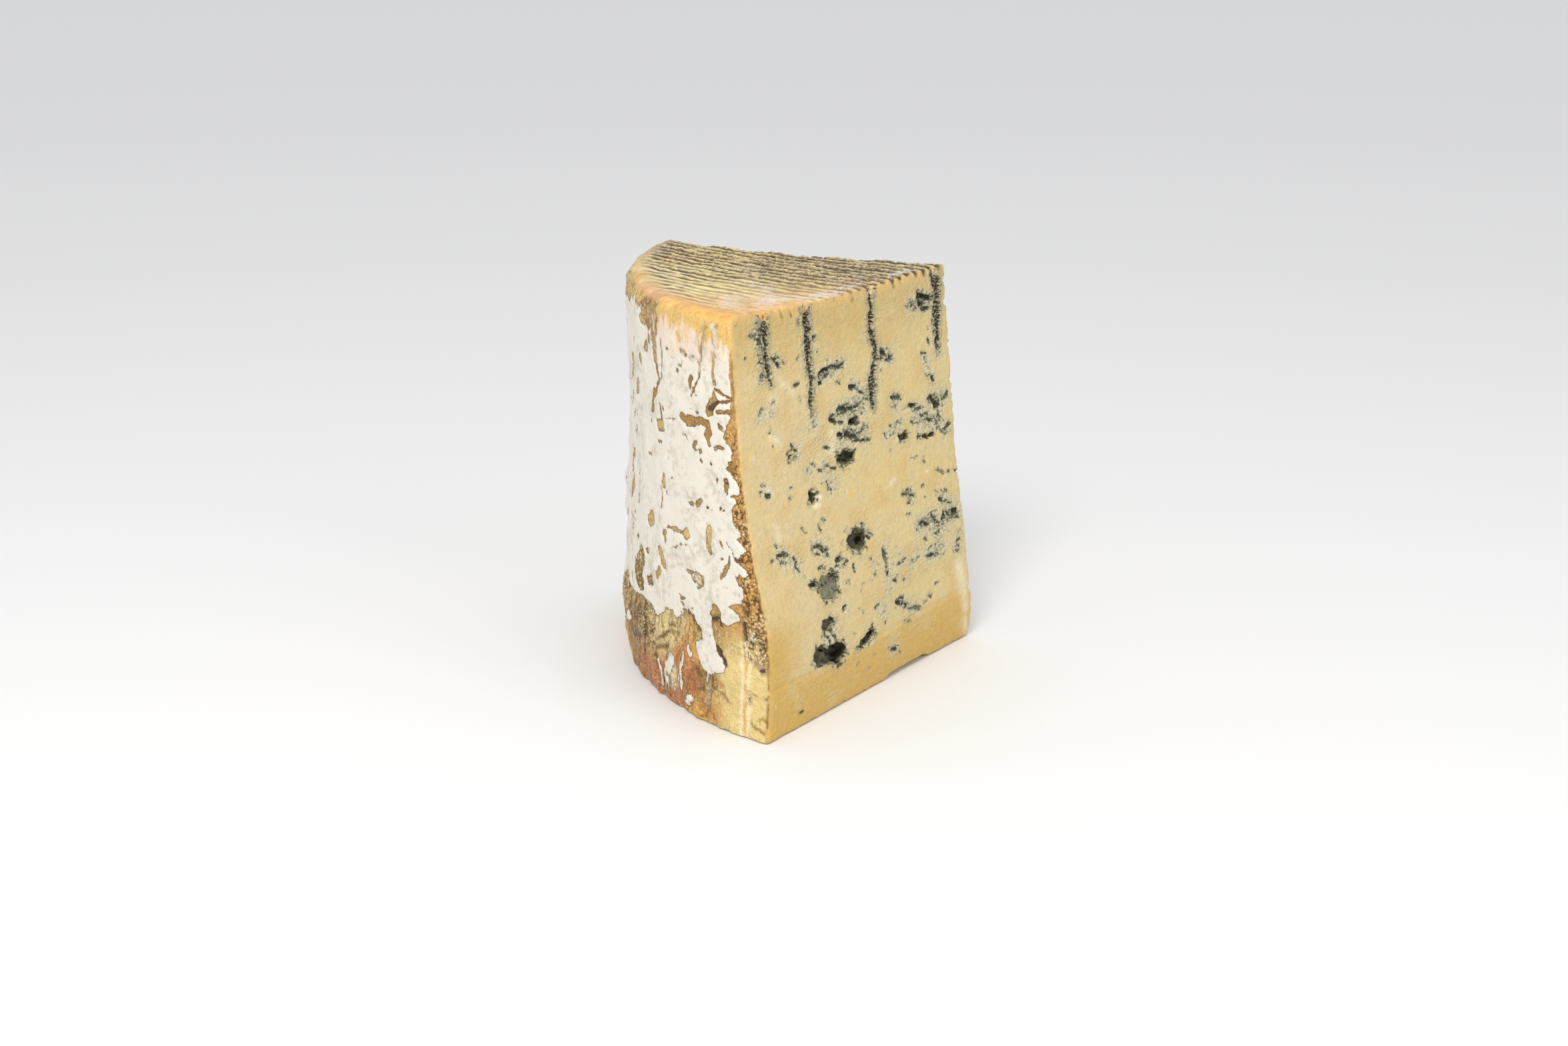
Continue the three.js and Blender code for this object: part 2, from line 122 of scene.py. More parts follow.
# ---- Front cut ----
# Mouldy crevices: [strength, radius, distance from the tip and height of each point]
FRONT_VEINS = [
    [.8, .6, 116, 139.4, 114, 138.6, 112, 137], [.6, .5, 114, 140.6, 110, 140.5], [.5, .9, 119.3, 131.6],
    [.9, .6, 105, 129.5, 102.5, 127.5], [.9, .7, 104, 128, 101.5, 125.5], [.8, .5, 103, 130, 101, 128],
    [.6, .4, 99.5, 127, 97.5, 126.3], [.9, .7, 94, 118.2, 92.4, 118.4], [.5, .7, 107.5, 114.5, 106, 114.7],
    [.45, .7, 114, 112, 112.5, 113], [.6, .4, 107.3, 111.4], [.35, .8, 115, 109.7],
    [.5, .5, 92.2, 113, 91.8, 111.7], [.4, .6, 111, 105, 109, 104], [.7, .7, 89.2, 138.8, 88.4, 137.6],
    [1, .9, 80, 119, 75, 120], [1, .7, 76, 119.8, 66.6, 119.6], [.7, .8, 80.5, 115.6, 79, 116],
    [.6, .5, 84, 114.2], [.5, 1, 82, 131.7, 80.5, 132], [.7, .5, 80, 127.3], [.5, .6, 92, 126.5, 90.6, 126.8],
    [.6, .4, 74.5, 123.4], [.5, .5, 72, 114, 69, 113.8], [1, .9, 63.2, 111, 61, 110.6],
    [.7, .7, 58, 108.5, 56, 107.3], [.6, .6, 55, 105.5, 54, 104.8], [.9, 1, 76, 103, 73.8, 100.8],
    [.8, .7, 71.4, 100, 69.5, 99.6], [.9, .9, 70.6, 104.4, 67, 103.6], [.9, .8, 66, 104.4, 62.5, 103.2],
    [.8, .7, 61, 103.2, 58, 103.8], [1, 1.1, 64.6, 98.6, 60.6, 98.7], [.9, .8, 72, 95.6, 70, 95.2],
    [1, .8, 68, 94.4, 65, 93.2], [.9, .9, 64.5, 93.6, 62, 93], [.7, .6, 57.6, 95.2, 55.4, 95.2],
    [1, .5, 65, 91.6, 60, 91.2, 54, 90], [.8, .8, 81.5, 92.8, 79.6, 92.6], [.9, .7, 101.5, 93, 100.6, 94.6],
    [.8, .6, 102, 96, 99, 96.4, 96, 95], [.7, .6, 99.5, 98.6, 98, 97], [.5, .6, 99, 93, 97, 93.6],
    [.5, .6, 109.5, 99.6], [1, .9, 43.4, 120.3, 41.5, 118.8], [.8, .8, 44, 117.6, 42.6, 119],
    [.8, .6, 40.6, 116.2, 38.4, 116.2], [.8, .5, 44, 113.2], [.5, .5, 40, 121, 38, 119],
    [.5, .8, 26.6, 133.6, 25.4, 133.4], [1, .5, 22, 131.4], [1, .6, 18.2, 137.2, 16, 136.4, 14, 135.4],
    [1, 1.2, 17.6, 132.6, 15, 132.4], [.9, .9, 17, 130.4, 12.5, 130.2], [.6, 1.4, 16, 135.4, 11, 134],
    [.5, .6, 24, 134.6, 20, 134], [.5, .6, 13.5, 123], [.6, .7, 14, 119.6, 14, 117.6],
    [.7, .8, 18.4, 114.6, 16.4, 114], [.6, .6, 17.4, 112.4, 16.4, 111.8], [.8, 1, 9, 118, 7.6, 116],
    [.6, .6, 16.4, 106.6, 14.6, 106.2], [.8, .9, 12.8, 105, 12.4, 103], [.6, .4, 44.3, 109.4],
    [1, .8, 39, 102.6, 36, 101.6], [.6, .9, 35, 102.6, 33.6, 101], [.4, .6, 40, 98.8, 36, 98.6],
    [1, .7, 28, 97, 26, 96.2, 24, 96.3], [.5, .4, 33, 96.6, 29, 97], [.8, .4, 26, 94.6, 22, 94.9, 19.8, 94.9],
    [.9, .8, 16.2, 97, 13.8, 97.4], [1, .9, 13.4, 96.4, 10.6, 94], [.9, .8, 12, 93.2, 9.6, 93.4],
    [.9, .7, 7, 94.8, 5, 95.6, 3.6, 97], [.6, .5, 42, 92.6, 41, 92.3], [.8, .5, 37.4, 92.4, 34.8, 92.2],
    [.9, .7, 27.4, 91, 26.6, 90.6], [.8, .6, 20.6, 91.6, 17.6, 91.8, 16.8, 92.4],
    [.9, .6, 10.6, 91.6, 10, 89.6], [.8, .9, 17.4, 89.4, 15.6, 88.4], [.7, .5, 13, 87],
    [.7, .6, 44.6, 90.4, 44.3, 89.4], [.5, .6, 42, 88.8, 39.6, 89.2], [1, .6, 24.8, 84.8, 22.6, 84.1],
    [1, .4, 21, 83.6, 17.4, 83.3], [1, .6, 17.6, 83.3, 14, 83.2], [.6, .7, 12, 84.8, 10, 85.2],
    [.8, .5, 9.6, 83.4, 7.8, 82.2], [.6, .9, 6.8, 83.6, 3.4, 84.6], [.8, .5, 6.6, 81.9, 5.4, 82],
    [.6, .5, 42, 83.1], [.8, .5, 30, 77.6], [.5, .5, 28.6, 77.4, 27, 76.8, 25.8, 77.6], [.8, .5, 21.6, 76.1],
    [.5, .7, 22.4, 74.8, 21.4, 74.4], [.7, .5, 14.4, 69.3, 12.4, 68.6], [.8, .6, 12, 68.4, 10, 67.6],
    [.8, .5, 7.8, 66.9, 6, 66.9], [.9, .6, 2.2, 66.4, .6, 65.6], [.9, .5, 37.8, 66, 34.4, 64.8, 30.4, 63.8],
    [.6, .9, 35, 66.3, 32, 66.2], [.8, .5, 35.2, 61.8, 33, 63], [.8, .5, 25.2, 65.9, 24, 65.8],
    [.8, .5, 24.2, 61.6], [.5, .5, 17, 61.2, 15.6, 61.4], [.6, .6, 13.4, 61], [.8, .5, 10.8, 61, 9.6, 60.9],
    [.6, .5, 5.8, 62.2], [.5, .7, 37.4, 58.2, 35.4, 57.8], [1, .8, 14.8, 58.1, 12.6, 57.2],
    [.7, .6, 12, 57, 9.8, 57], [.6, .7, 10, 55.6, 9, 55.2], [.9, .7, 32.2, 51.4],
    [.7, .5, 31.6, 53, 30.8, 52.6], [.9, .8, 29.4, 52.4, 27.6, 52.4], [.9, .7, 26.6, 51.8, 24.4, 51.8],
    [.6, .5, 28, 53.6, 25, 53.2], [.6, .4, 23.6, 54.8, 20, 55.2, 18, 54.9], [.9, .8, 21.4, 53.6, 20, 52.4],
    [.8, .6, 20, 52.4, 19.4, 50.6], [.7, .5, 21.6, 49.4, 18.6, 49.2],
    [.8, .4, 21.6, 46.9, 19, 46.4, 17.6, 47], [.6, .6, 28.6, 46.4, 27.4, 46.3], [.5, .4, 32, 44.4],
    [1, .8, 14.8, 51.2, 13.6, 53.4], [.8, .7, 12, 53.2, 11, 51.4], [.7, .4, 11.6, 49.8, 8, 49.2, 3.4, 49.6],
    [.6, .5, 48.6, 42.2, 45, 42.4], [.6, .5, 45, 42.8, 42.4, 43.6], [.7, .5, 40, 41, 37.6, 40.8],
    [.7, .5, 35.6, 41, 33.4, 41.2], [.7, .5, 30.4, 40.8], [.9, .6, 28, 40.2, 25, 39.6, 23, 39],
    [.8, .5, 23.4, 38.8, 20.6, 38.8], [.6, .4, 20, 37.8, 17, 38, 15.8, 38.4], [.7, .5, 27, 42, 24, 42.8],
    [.6, .4, 23, 42.6, 18.6, 43.6], [.8, .7, 6.8, 40.2, 5, 40.5], [.6, .6, 8, 38.6, 6, 38.2],
    [.7, .5, 8.8, 36.8, 6.4, 36.4], [.5, .6, 5.4, 43.6, 3.8, 43.9], [.7, .6, 52, 37.2, 50.4, 37],
    [.5, .5, 49.6, 38, 48.4, 38], [.6, .5, 45.3, 35.6], [.6, .4, 41, 36.2, 40.4, 35.6],
    [1, 1.1, 56, 50.2, 55.4, 47], [1, .9, 55.2, 47, 55.2, 44], [.8, .7, 55.4, 43.6, 55, 41],
    [.9, .6, 117.6, 87.6, 116.2, 87.4], [1, .7, 115.8, 83.9, 114.2, 83.8], [.6, .5, 119.4, 85.4, 117, 85],
    [.5, .4, 103.4, 83.8, 101.4, 84.6], [.8, .4, 104, 80.3, 102.8, 80.2], [.5, .4, 110, 90.2],
    [1, 1, 92.4, 79.4, 92, 77.6], [.9, .5, 92, 78.8, 88.6, 78.6], [.8, .6, 93.4, 77.4, 93.6, 75.6],
    [.8, .4, 92.4, 80.4, 89.4, 80.6], [.7, .5, 90.6, 77, 89, 76.4], [.5, .6, 92, 88, 89, 89.4, 87, 88],
    [.6, .8, 85.8, 85.8, 84.6, 85.8], [.8, .5, 82.2, 86.6, 79, 85.4], [.8, .5, 78.6, 84.8, 76.8, 84.3],
    [.6, .5, 85, 81.3], [.6, .5, 82.4, 81.1, 81.4, 81], [.5, .8, 82, 79.4, 81.6, 78.2],
    [.5, .6, 80.4, 77.6, 79.6, 77.8], [.5, .4, 82.4, 75.4], [.6, .3, 68.4, 78.6], [.6, .3, 67.2, 77.6],
    [.6, .3, 71.6, 83], [.6, .3, 68.6, 82.7], [.5, .7, 100.4, 69, 99, 67.4], [.8, .5, 88, 69.6, 86.4, 69],
    [.7, .5, 87.2, 68.6], [.6, .7, 90.4, 67.4, 89.6, 66], [.6, .6, 96.2, 63.4],
    [.8, .7, 94.4, 60.6, 92.4, 60.6], [.9, .6, 93, 61, 90.6, 58.6], [.7, .6, 96.2, 61.4, 96, 60],
    [.7, .6, 94.6, 58.4, 93.4, 58.2], [.7, .7, 89.6, 58.8, 88, 58.4], [.7, .6, 89.2, 56.4, 88.4, 57],
    [.5, .9, 95, 53.6, 93, 53.4], [.6, .5, 115.4, 68, 115.2, 66], [.9, .7, 115.8, 63.4, 113.4, 62.8],
    [.8, .6, 113, 63.6, 110.4, 62.4], [.8, .5, 115, 60.4, 112, 60.4], [.5, .5, 119.6, 62.2, 117.6, 62.4],
    [.8, .7, 107.6, 60, 106.4, 58.4], [.8, .8, 107.4, 57.6, 106, 56.6], [.5, .4, 106, 55.4, 105, 55],
    [.5, .5, 104.4, 52.8, 103.4, 52.4], [1, .6, 100.8, 48.8, 98.4, 48.6], [1, .5, 98, 48.6, 95.4, 48.2],
    [1, .9, 83.6, 53.4, 82, 53.4], [.8, .5, 85.4, 51.6, 83, 51.6], [.8, .6, 80.8, 51, 78.6, 51.4],
    [.8, .5, 78.7, 58.2], [.5, .5, 78.6, 55.4], [.8, .5, 75.4, 61.9], [.7, .5, 66.4, 62.2, 64.8, 61.4],
    [.8, .6, 64.6, 57.4, 63, 56.6], [.8, .5, 63, 58.4, 61.4, 57.2], [.6, .5, 60.2, 57],
    [.8, .6, 75, 49.6, 75.2, 47], [.7, .5, 80.2, 45, 79, 43.6], [.6, .6, 65, 48.8, 64, 48.6],
    [.6, .5, 64.8, 41.2], [.5, .7, 63.4, 43, 62, 43.4], [.5, .4, 71, 42, 73, 39.6],
    [.9, .7, 85, 36.2, 83.4, 36.2], [.6, .5, 82.6, 35.2], [.8, .6, 94.4, 32, 93.2, 30.4],
    [.9, .7, 95.4, 28.6, 94.6, 26.8], [.6, .4, 79, 24.8, 78.2, 24.9], [.5, .4, 76, 33.8, 74.6, 32.6],
    [.5, .4, 74, 31.6, 73, 31.2], [.8, .6, 64.6, 31, 63, 31.2], [.8, .5, 58.8, 23.6],
    [.8, .7, 68.6, 23.6, 66.6, 22], [.8, .5, 67.4, 24.4], [.5, .6, 78, 13.2, 76.8, 13.4],
    [.7, .5, 66.6, 13.3], [.5, .4, 72, 9.4, 70.4, 9.1], [.7, .5, 58, 13.2, 56.4, 12.6],
    [.8, .6, 55.6, 11.6, 53, 10.6], [.7, .5, 54, 12.6, 51.6, 12], [.7, .5, 50.6, 9, 49.4, 8.4],
    [.4, .8, 112.6, 6, 111, 5.8], [1, .9, 50.8, 28.6, 49.6, 28], [.8, .7, 49, 29.4, 47.4, 29],
    [.9, .6, 47.4, 27, 44.6, 26], [.8, .6, 43.4, 24.6, 41, 23.6], [.9, .7, 40, 23.6, 37.6, 22.4],
    [.7, .6, 38, 21.4, 36.4, 22.2], [.7, .6, 33.4, 23, 31.6, 23.4], [.6, .6, 29.4, 25.2, 27.8, 24.4],
    [.8, .6, 24.4, 28.2, 22.8, 28.4], [.6, .5, 51.8, 26.6], [.4, .6, 46, 19, 43, 19],
    [.9, .6, 92, 27.4, 92.6, 29.6],
]
# Soft grey-green shades round the clusters, pale lumps and flaps, and yellow chips:
# [strength, radius, distance from the tip and height of each point]
FRONT_HALOS = [
    [.8, 3, 110.5, 144, 110.5, 124], [.6, 3, 103.5, 127.5], [.5, 3, 108, 112, 113, 110], [.5, 4, 97, 95],
    [.5, 3, 85.5, 143, 86.5, 110, 86, 102], [.8, 3, 80, 118, 68, 120], [.5, 2, 82, 131.5],
    [.8, 4, 72, 103, 58, 103], [.8, 4, 70, 95, 58, 94], [.6, 3, 62, 112, 54, 106],
    [.6, 2.5, 48.5, 142, 48.5, 126], [.8, 3, 44, 119, 39, 117], [.7, 2.5, 51, 112, 50.5, 101],
    [.8, 3, 8, 143, 8.5, 114], [.7, 4, 24, 133.5, 12, 133], [.5, 3, 17, 113, 13, 105],
    [.6, 3, 38, 102, 37, 98], [.7, 4, 14, 96, 6, 96], [.6, 3, 26, 95, 18, 92], [.7, 4, 24, 90, 10, 88],
    [.6, 3, 8, 84, 5, 83], [.5, 3, 44, 89, 34, 92], [.5, 3, 34, 65, 33, 63], [.5, 3, 14, 58, 8, 57],
    [.7, 4, 30, 52, 20, 52], [.7, 4, 20, 48, 5, 52], [.6, 4, 28, 40, 18, 41], [.6, 4, 7, 39],
    [.4, 5, 48, 43, 36, 42], [.5, 4, 55, 50, 55, 36], [.5, 4, 92, 61, 89, 57], [.5, 4, 114, 63, 107, 58],
    [.5, 4, 82, 86, 78, 80], [.4, 4, 91, 88], [.5, 4, 92, 46, 84, 52], [.5, 3, 64, 58], [.4, 4, 63, 46],
    [.5, 5, 61, 29], [.5, 3, 54, 11.5], [.6, 3, 49, 28, 38, 22], [.4, 4, 100, 25, 90, 30],
    [.4, 3, 70, 24, 66, 22], [.3, 6, 88, 100, 84, 96], [.4, 4, 78, 93, 70, 90], [.3, 5, 52, 38, 44, 36],
    [.4, 3, 116, 85],
]
FRONT_PALE = [
    [.8, 1.2, 117, 86.4, 114.6, 86], [.6, 1, 113, 84.4], [.9, .8, 98.6, 47.8, 95.6, 47.4],
    [.8, 1.1, 92, 42, 88.4, 42.8], [.9, 1, 88, 44, 85.6, 45.4], [.8, 1.8, 90, 19.4, 87, 20],
    [.8, 1.2, 92.4, 18.6], [.7, 1.5, 97, 27.6, 92.6, 26.6], [.9, .9, 75.6, 19.2, 68, 18.8],
    [.8, .7, 37.4, 85.6, 31.6, 85.3], [.7, .8, 37.6, 86.4], [.9, .6, 91.6, 79.4, 89, 79.2],
    [.9, .7, 90.4, 77.4, 87, 76.6], [.9, .8, 91, 74.4, 88.4, 74.2], [.6, 1.4, 109, 102.6, 106.6, 101],
    [.6, 1.2, 120.6, 98.4], [.6, 1.2, 79.6, 91.6, 77, 91.6], [.5, 1.2, 76, 93, 76, 97],
    [.7, .6, 66, 93.6, 63.6, 93.8], [.8, .4, 21.6, 70.8, 20, 70.4], [.4, 1.6, 113.6, 72, 113.6, 66],
    [.5, .8, 46, 71.2, 42.6, 72.4], [.9, 1, 13.6, 51.8, 12.6, 51.2], [.7, .7, 34, 66.4, 31, 66],
    [.7, .6, 55.4, 11.6, 53, 11], [.7, .6, 84.6, 35.2, 82.6, 34.8], [.6, .6, 109, 140, 108, 142],
    [.7, 1, 85.4, 143.6], [.5, .8, 65.4, 55, 72, 54.2], [.6, .8, 67.6, 61.2, 64.8, 62],
    [.5, 1.4, 101, 120, 96, 116], [.4, 1.6, 108, 116, 103, 112], [.6, 2.4, 7, 30, 4, 12], [.5, 2, 5, 8, 3, 3],
]
FRONT_CHIPS = [
    [.9, .8, 121, 99.8], [.9, .8, 69.6, 73.2, 68.2, 73.3], [.7, .5, 25.6, 107.6], [.6, .4, 22.6, 107.6],
    [.7, .8, 108.8, 99.4], [.6, .7, 111.6, 102.8], [.5, .5, 34, 115], [.6, .8, 120, 83],
]

# ---- Holes: distance from the tip, height, width, height of the mouth, depth, tilt in degrees ----
FRONT_HOLES = [
    [69.8, 87, 9.6, 5, 7, -10], [70, 57, 9.8, 8, 8, 0], [55.2, 46.4, 2, 7.6, 3, 6],
    [91, 46.4, 10.5, 9.6, 4.5, -14], [99, 48.8, 5, 1.6, 5, -6], [100, 23, 8, 7, 9, 0],
    [94.5, 21.6, 8, 6, 9, 0], [89.4, 21, 10, 8.4, 8, -10], [94.6, 33.3, 6.4, 4.6, 5, 0],
    [71.4, 20.3, 11, 3, 6, 16], [33.8, 86.4, 6.4, 2.6, 4, -6], [6.6, 51.4, 5, 2.6, 4, 0],
    [16, 134.6, 5, 4.4, 3.4, -14], [62.2, 98.7, 4.6, 2.2, 4, 0], [91.6, 77.6, 2.6, 5.4, 4, 0],
    [25.6, 96.5, 3.4, 1.5, 3, -10], [20, 83.8, 4, 1.5, 3, -6], [15.4, 83.2, 3.4, 1.5, 3, 0],
    [.6, 130.6, 3, 2, 3, 0], [.4, 114.6, 2.2, 1.8, 2, 0], [.3, 101, 1.8, 2.2, 2, 0],
]
BACK_HOLES = [
    [34, 96, 10, 6, 7, 8], [58, 64, 14, 8, 9, -6], [88, 84, 9, 5, 6, 10], [101, 41, 12, 8, 8, 0],
    [47, 31, 16, 7, 10, -8], [76, 112, 7, 5, 5, 0], [22, 52, 8, 6, 6, 12], [84, 22, 9, 5, 6, 0],
]
# Needle channels: height, distance from the tip and half the width at places down each
FRONT_NEEDLES = [
    [147, 109, 2.3, 142.7, 107.7, 2.3, 139, 107.8, 2.1, 135, 107.9, 1.4, 129.7, 108.5, .9, 124, 107.9, .7,
     120, 107.1, .2],
    [147, 83.8, 2.2, 140.4, 85.3, 2.4, 135.7, 84.9, 2, 130.8, 85.5, 2, 125.7, 85.9, 2, 121.3, 85.4, 1.8,
     117.8, 84.9, 1.2, 114.7, 85.6, 1.4, 111.2, 86.6, 1.4, 108.6, 86.5, .8, 106, 86.4, .1],
    [147, 46.9, 2.8, 143.3, 46.9, 2.5, 139.9, 47.6, 1.6, 136.4, 47.2, .9, 133.6, 48.7, 1.6, 129.2, 48.6, 1.9,
     124.6, 47.5, 1.9, 121.3, 46.6, 1.5, 118.2, 47, 2.2, 116, 48.6, 1.4, 111.9, 49.9, 2, 107.7, 50.5, 2.2,
     103.8, 51.2, 1.5, 100, 50.9, .3],
    [147, 6.2, 3, 139.7, 6.4, 2.8, 135.2, 6.1, 2.6, 130.8, 6.7, 2.3, 126.2, 6.9, 2.2, 121.7, 7.2, 1.8, 117.3,
     8, 1.3, 113.6, 9, .3],
]
BACK_NEEDLES = [
    [147, 17, 2.6, 141, 17.6, 2.2, 135, 17.2, 1.4, 129, 18.6, 1.9, 122, 18.2, 1.5, 115, 19.4, 1.9, 108, 19.2,
     1, 103, 19.9, .3],
    [147, 49, 2.3, 138, 48.2, 2.1, 131, 47, 1.3, 124, 47.9, 1.9, 116, 46.4, 1.7, 109, 47.2, .9, 101, 46.2,
     1.4, 91, 46.8, .2],
    [147, 78, 2.6, 139, 79.3, 2, 134, 79, 1.1, 127, 80.4, 2.1, 119, 80.2, 1.3, 111, 81.2, .3],
    [147, 108.6, 2.1, 137, 107.6, 1.8, 130, 108.2, .9, 121, 106.9, 1.5, 113, 107.3, .7, 104, 106.4, .2],
]

# ---- Rind: along it from the front cut, and height ----
# Where the white bloom ends, towards the back cut
BLOOM_EDGE = [
    .2, 146, .4, 136, 1.2, 126, .8, 121, 2.5, 113, 6.5, 106, 3, 101.5, 3.5, 97, 4.6, 94, 1, 91.4, 1, 88, 4,
    86, 3, 84, 6.5, 81, 5.5, 76, 3, 73.5, 6, 71, 2.6, 68, 7, 64, 3.5, 62, 3, 60.4, 5, 59, 7, 60, 9, 57, 7,
    54.5, 6, 52, 9, 49, 16, 47, 12, 44.6, 11, 43, 17, 40.4, 19.5, 39.6, 21, 45, 23, 46, 25.5, 41, 24.8, 36,
    24.5, 30.5, 21, 27, 19, 25.8, 20, 22, 24.5, 20.4, 26, 19.8, 31, 20.2, 32.5, 24, 35, 29.4, 32, 30, 31,
    33.5, 32.5, 35.5, 36, 38, 38, 40, 41, 38.4, 44, 36, 47, 34.4, 50, 37, 54, 35.6, 57, 33, 61.5, 31, 66,
    33.4, 75, 33, 82, 32, 92, 31, 104, 34, 112, 30, 128, 33, 143, 28, 158, 32, 174, 28,
]
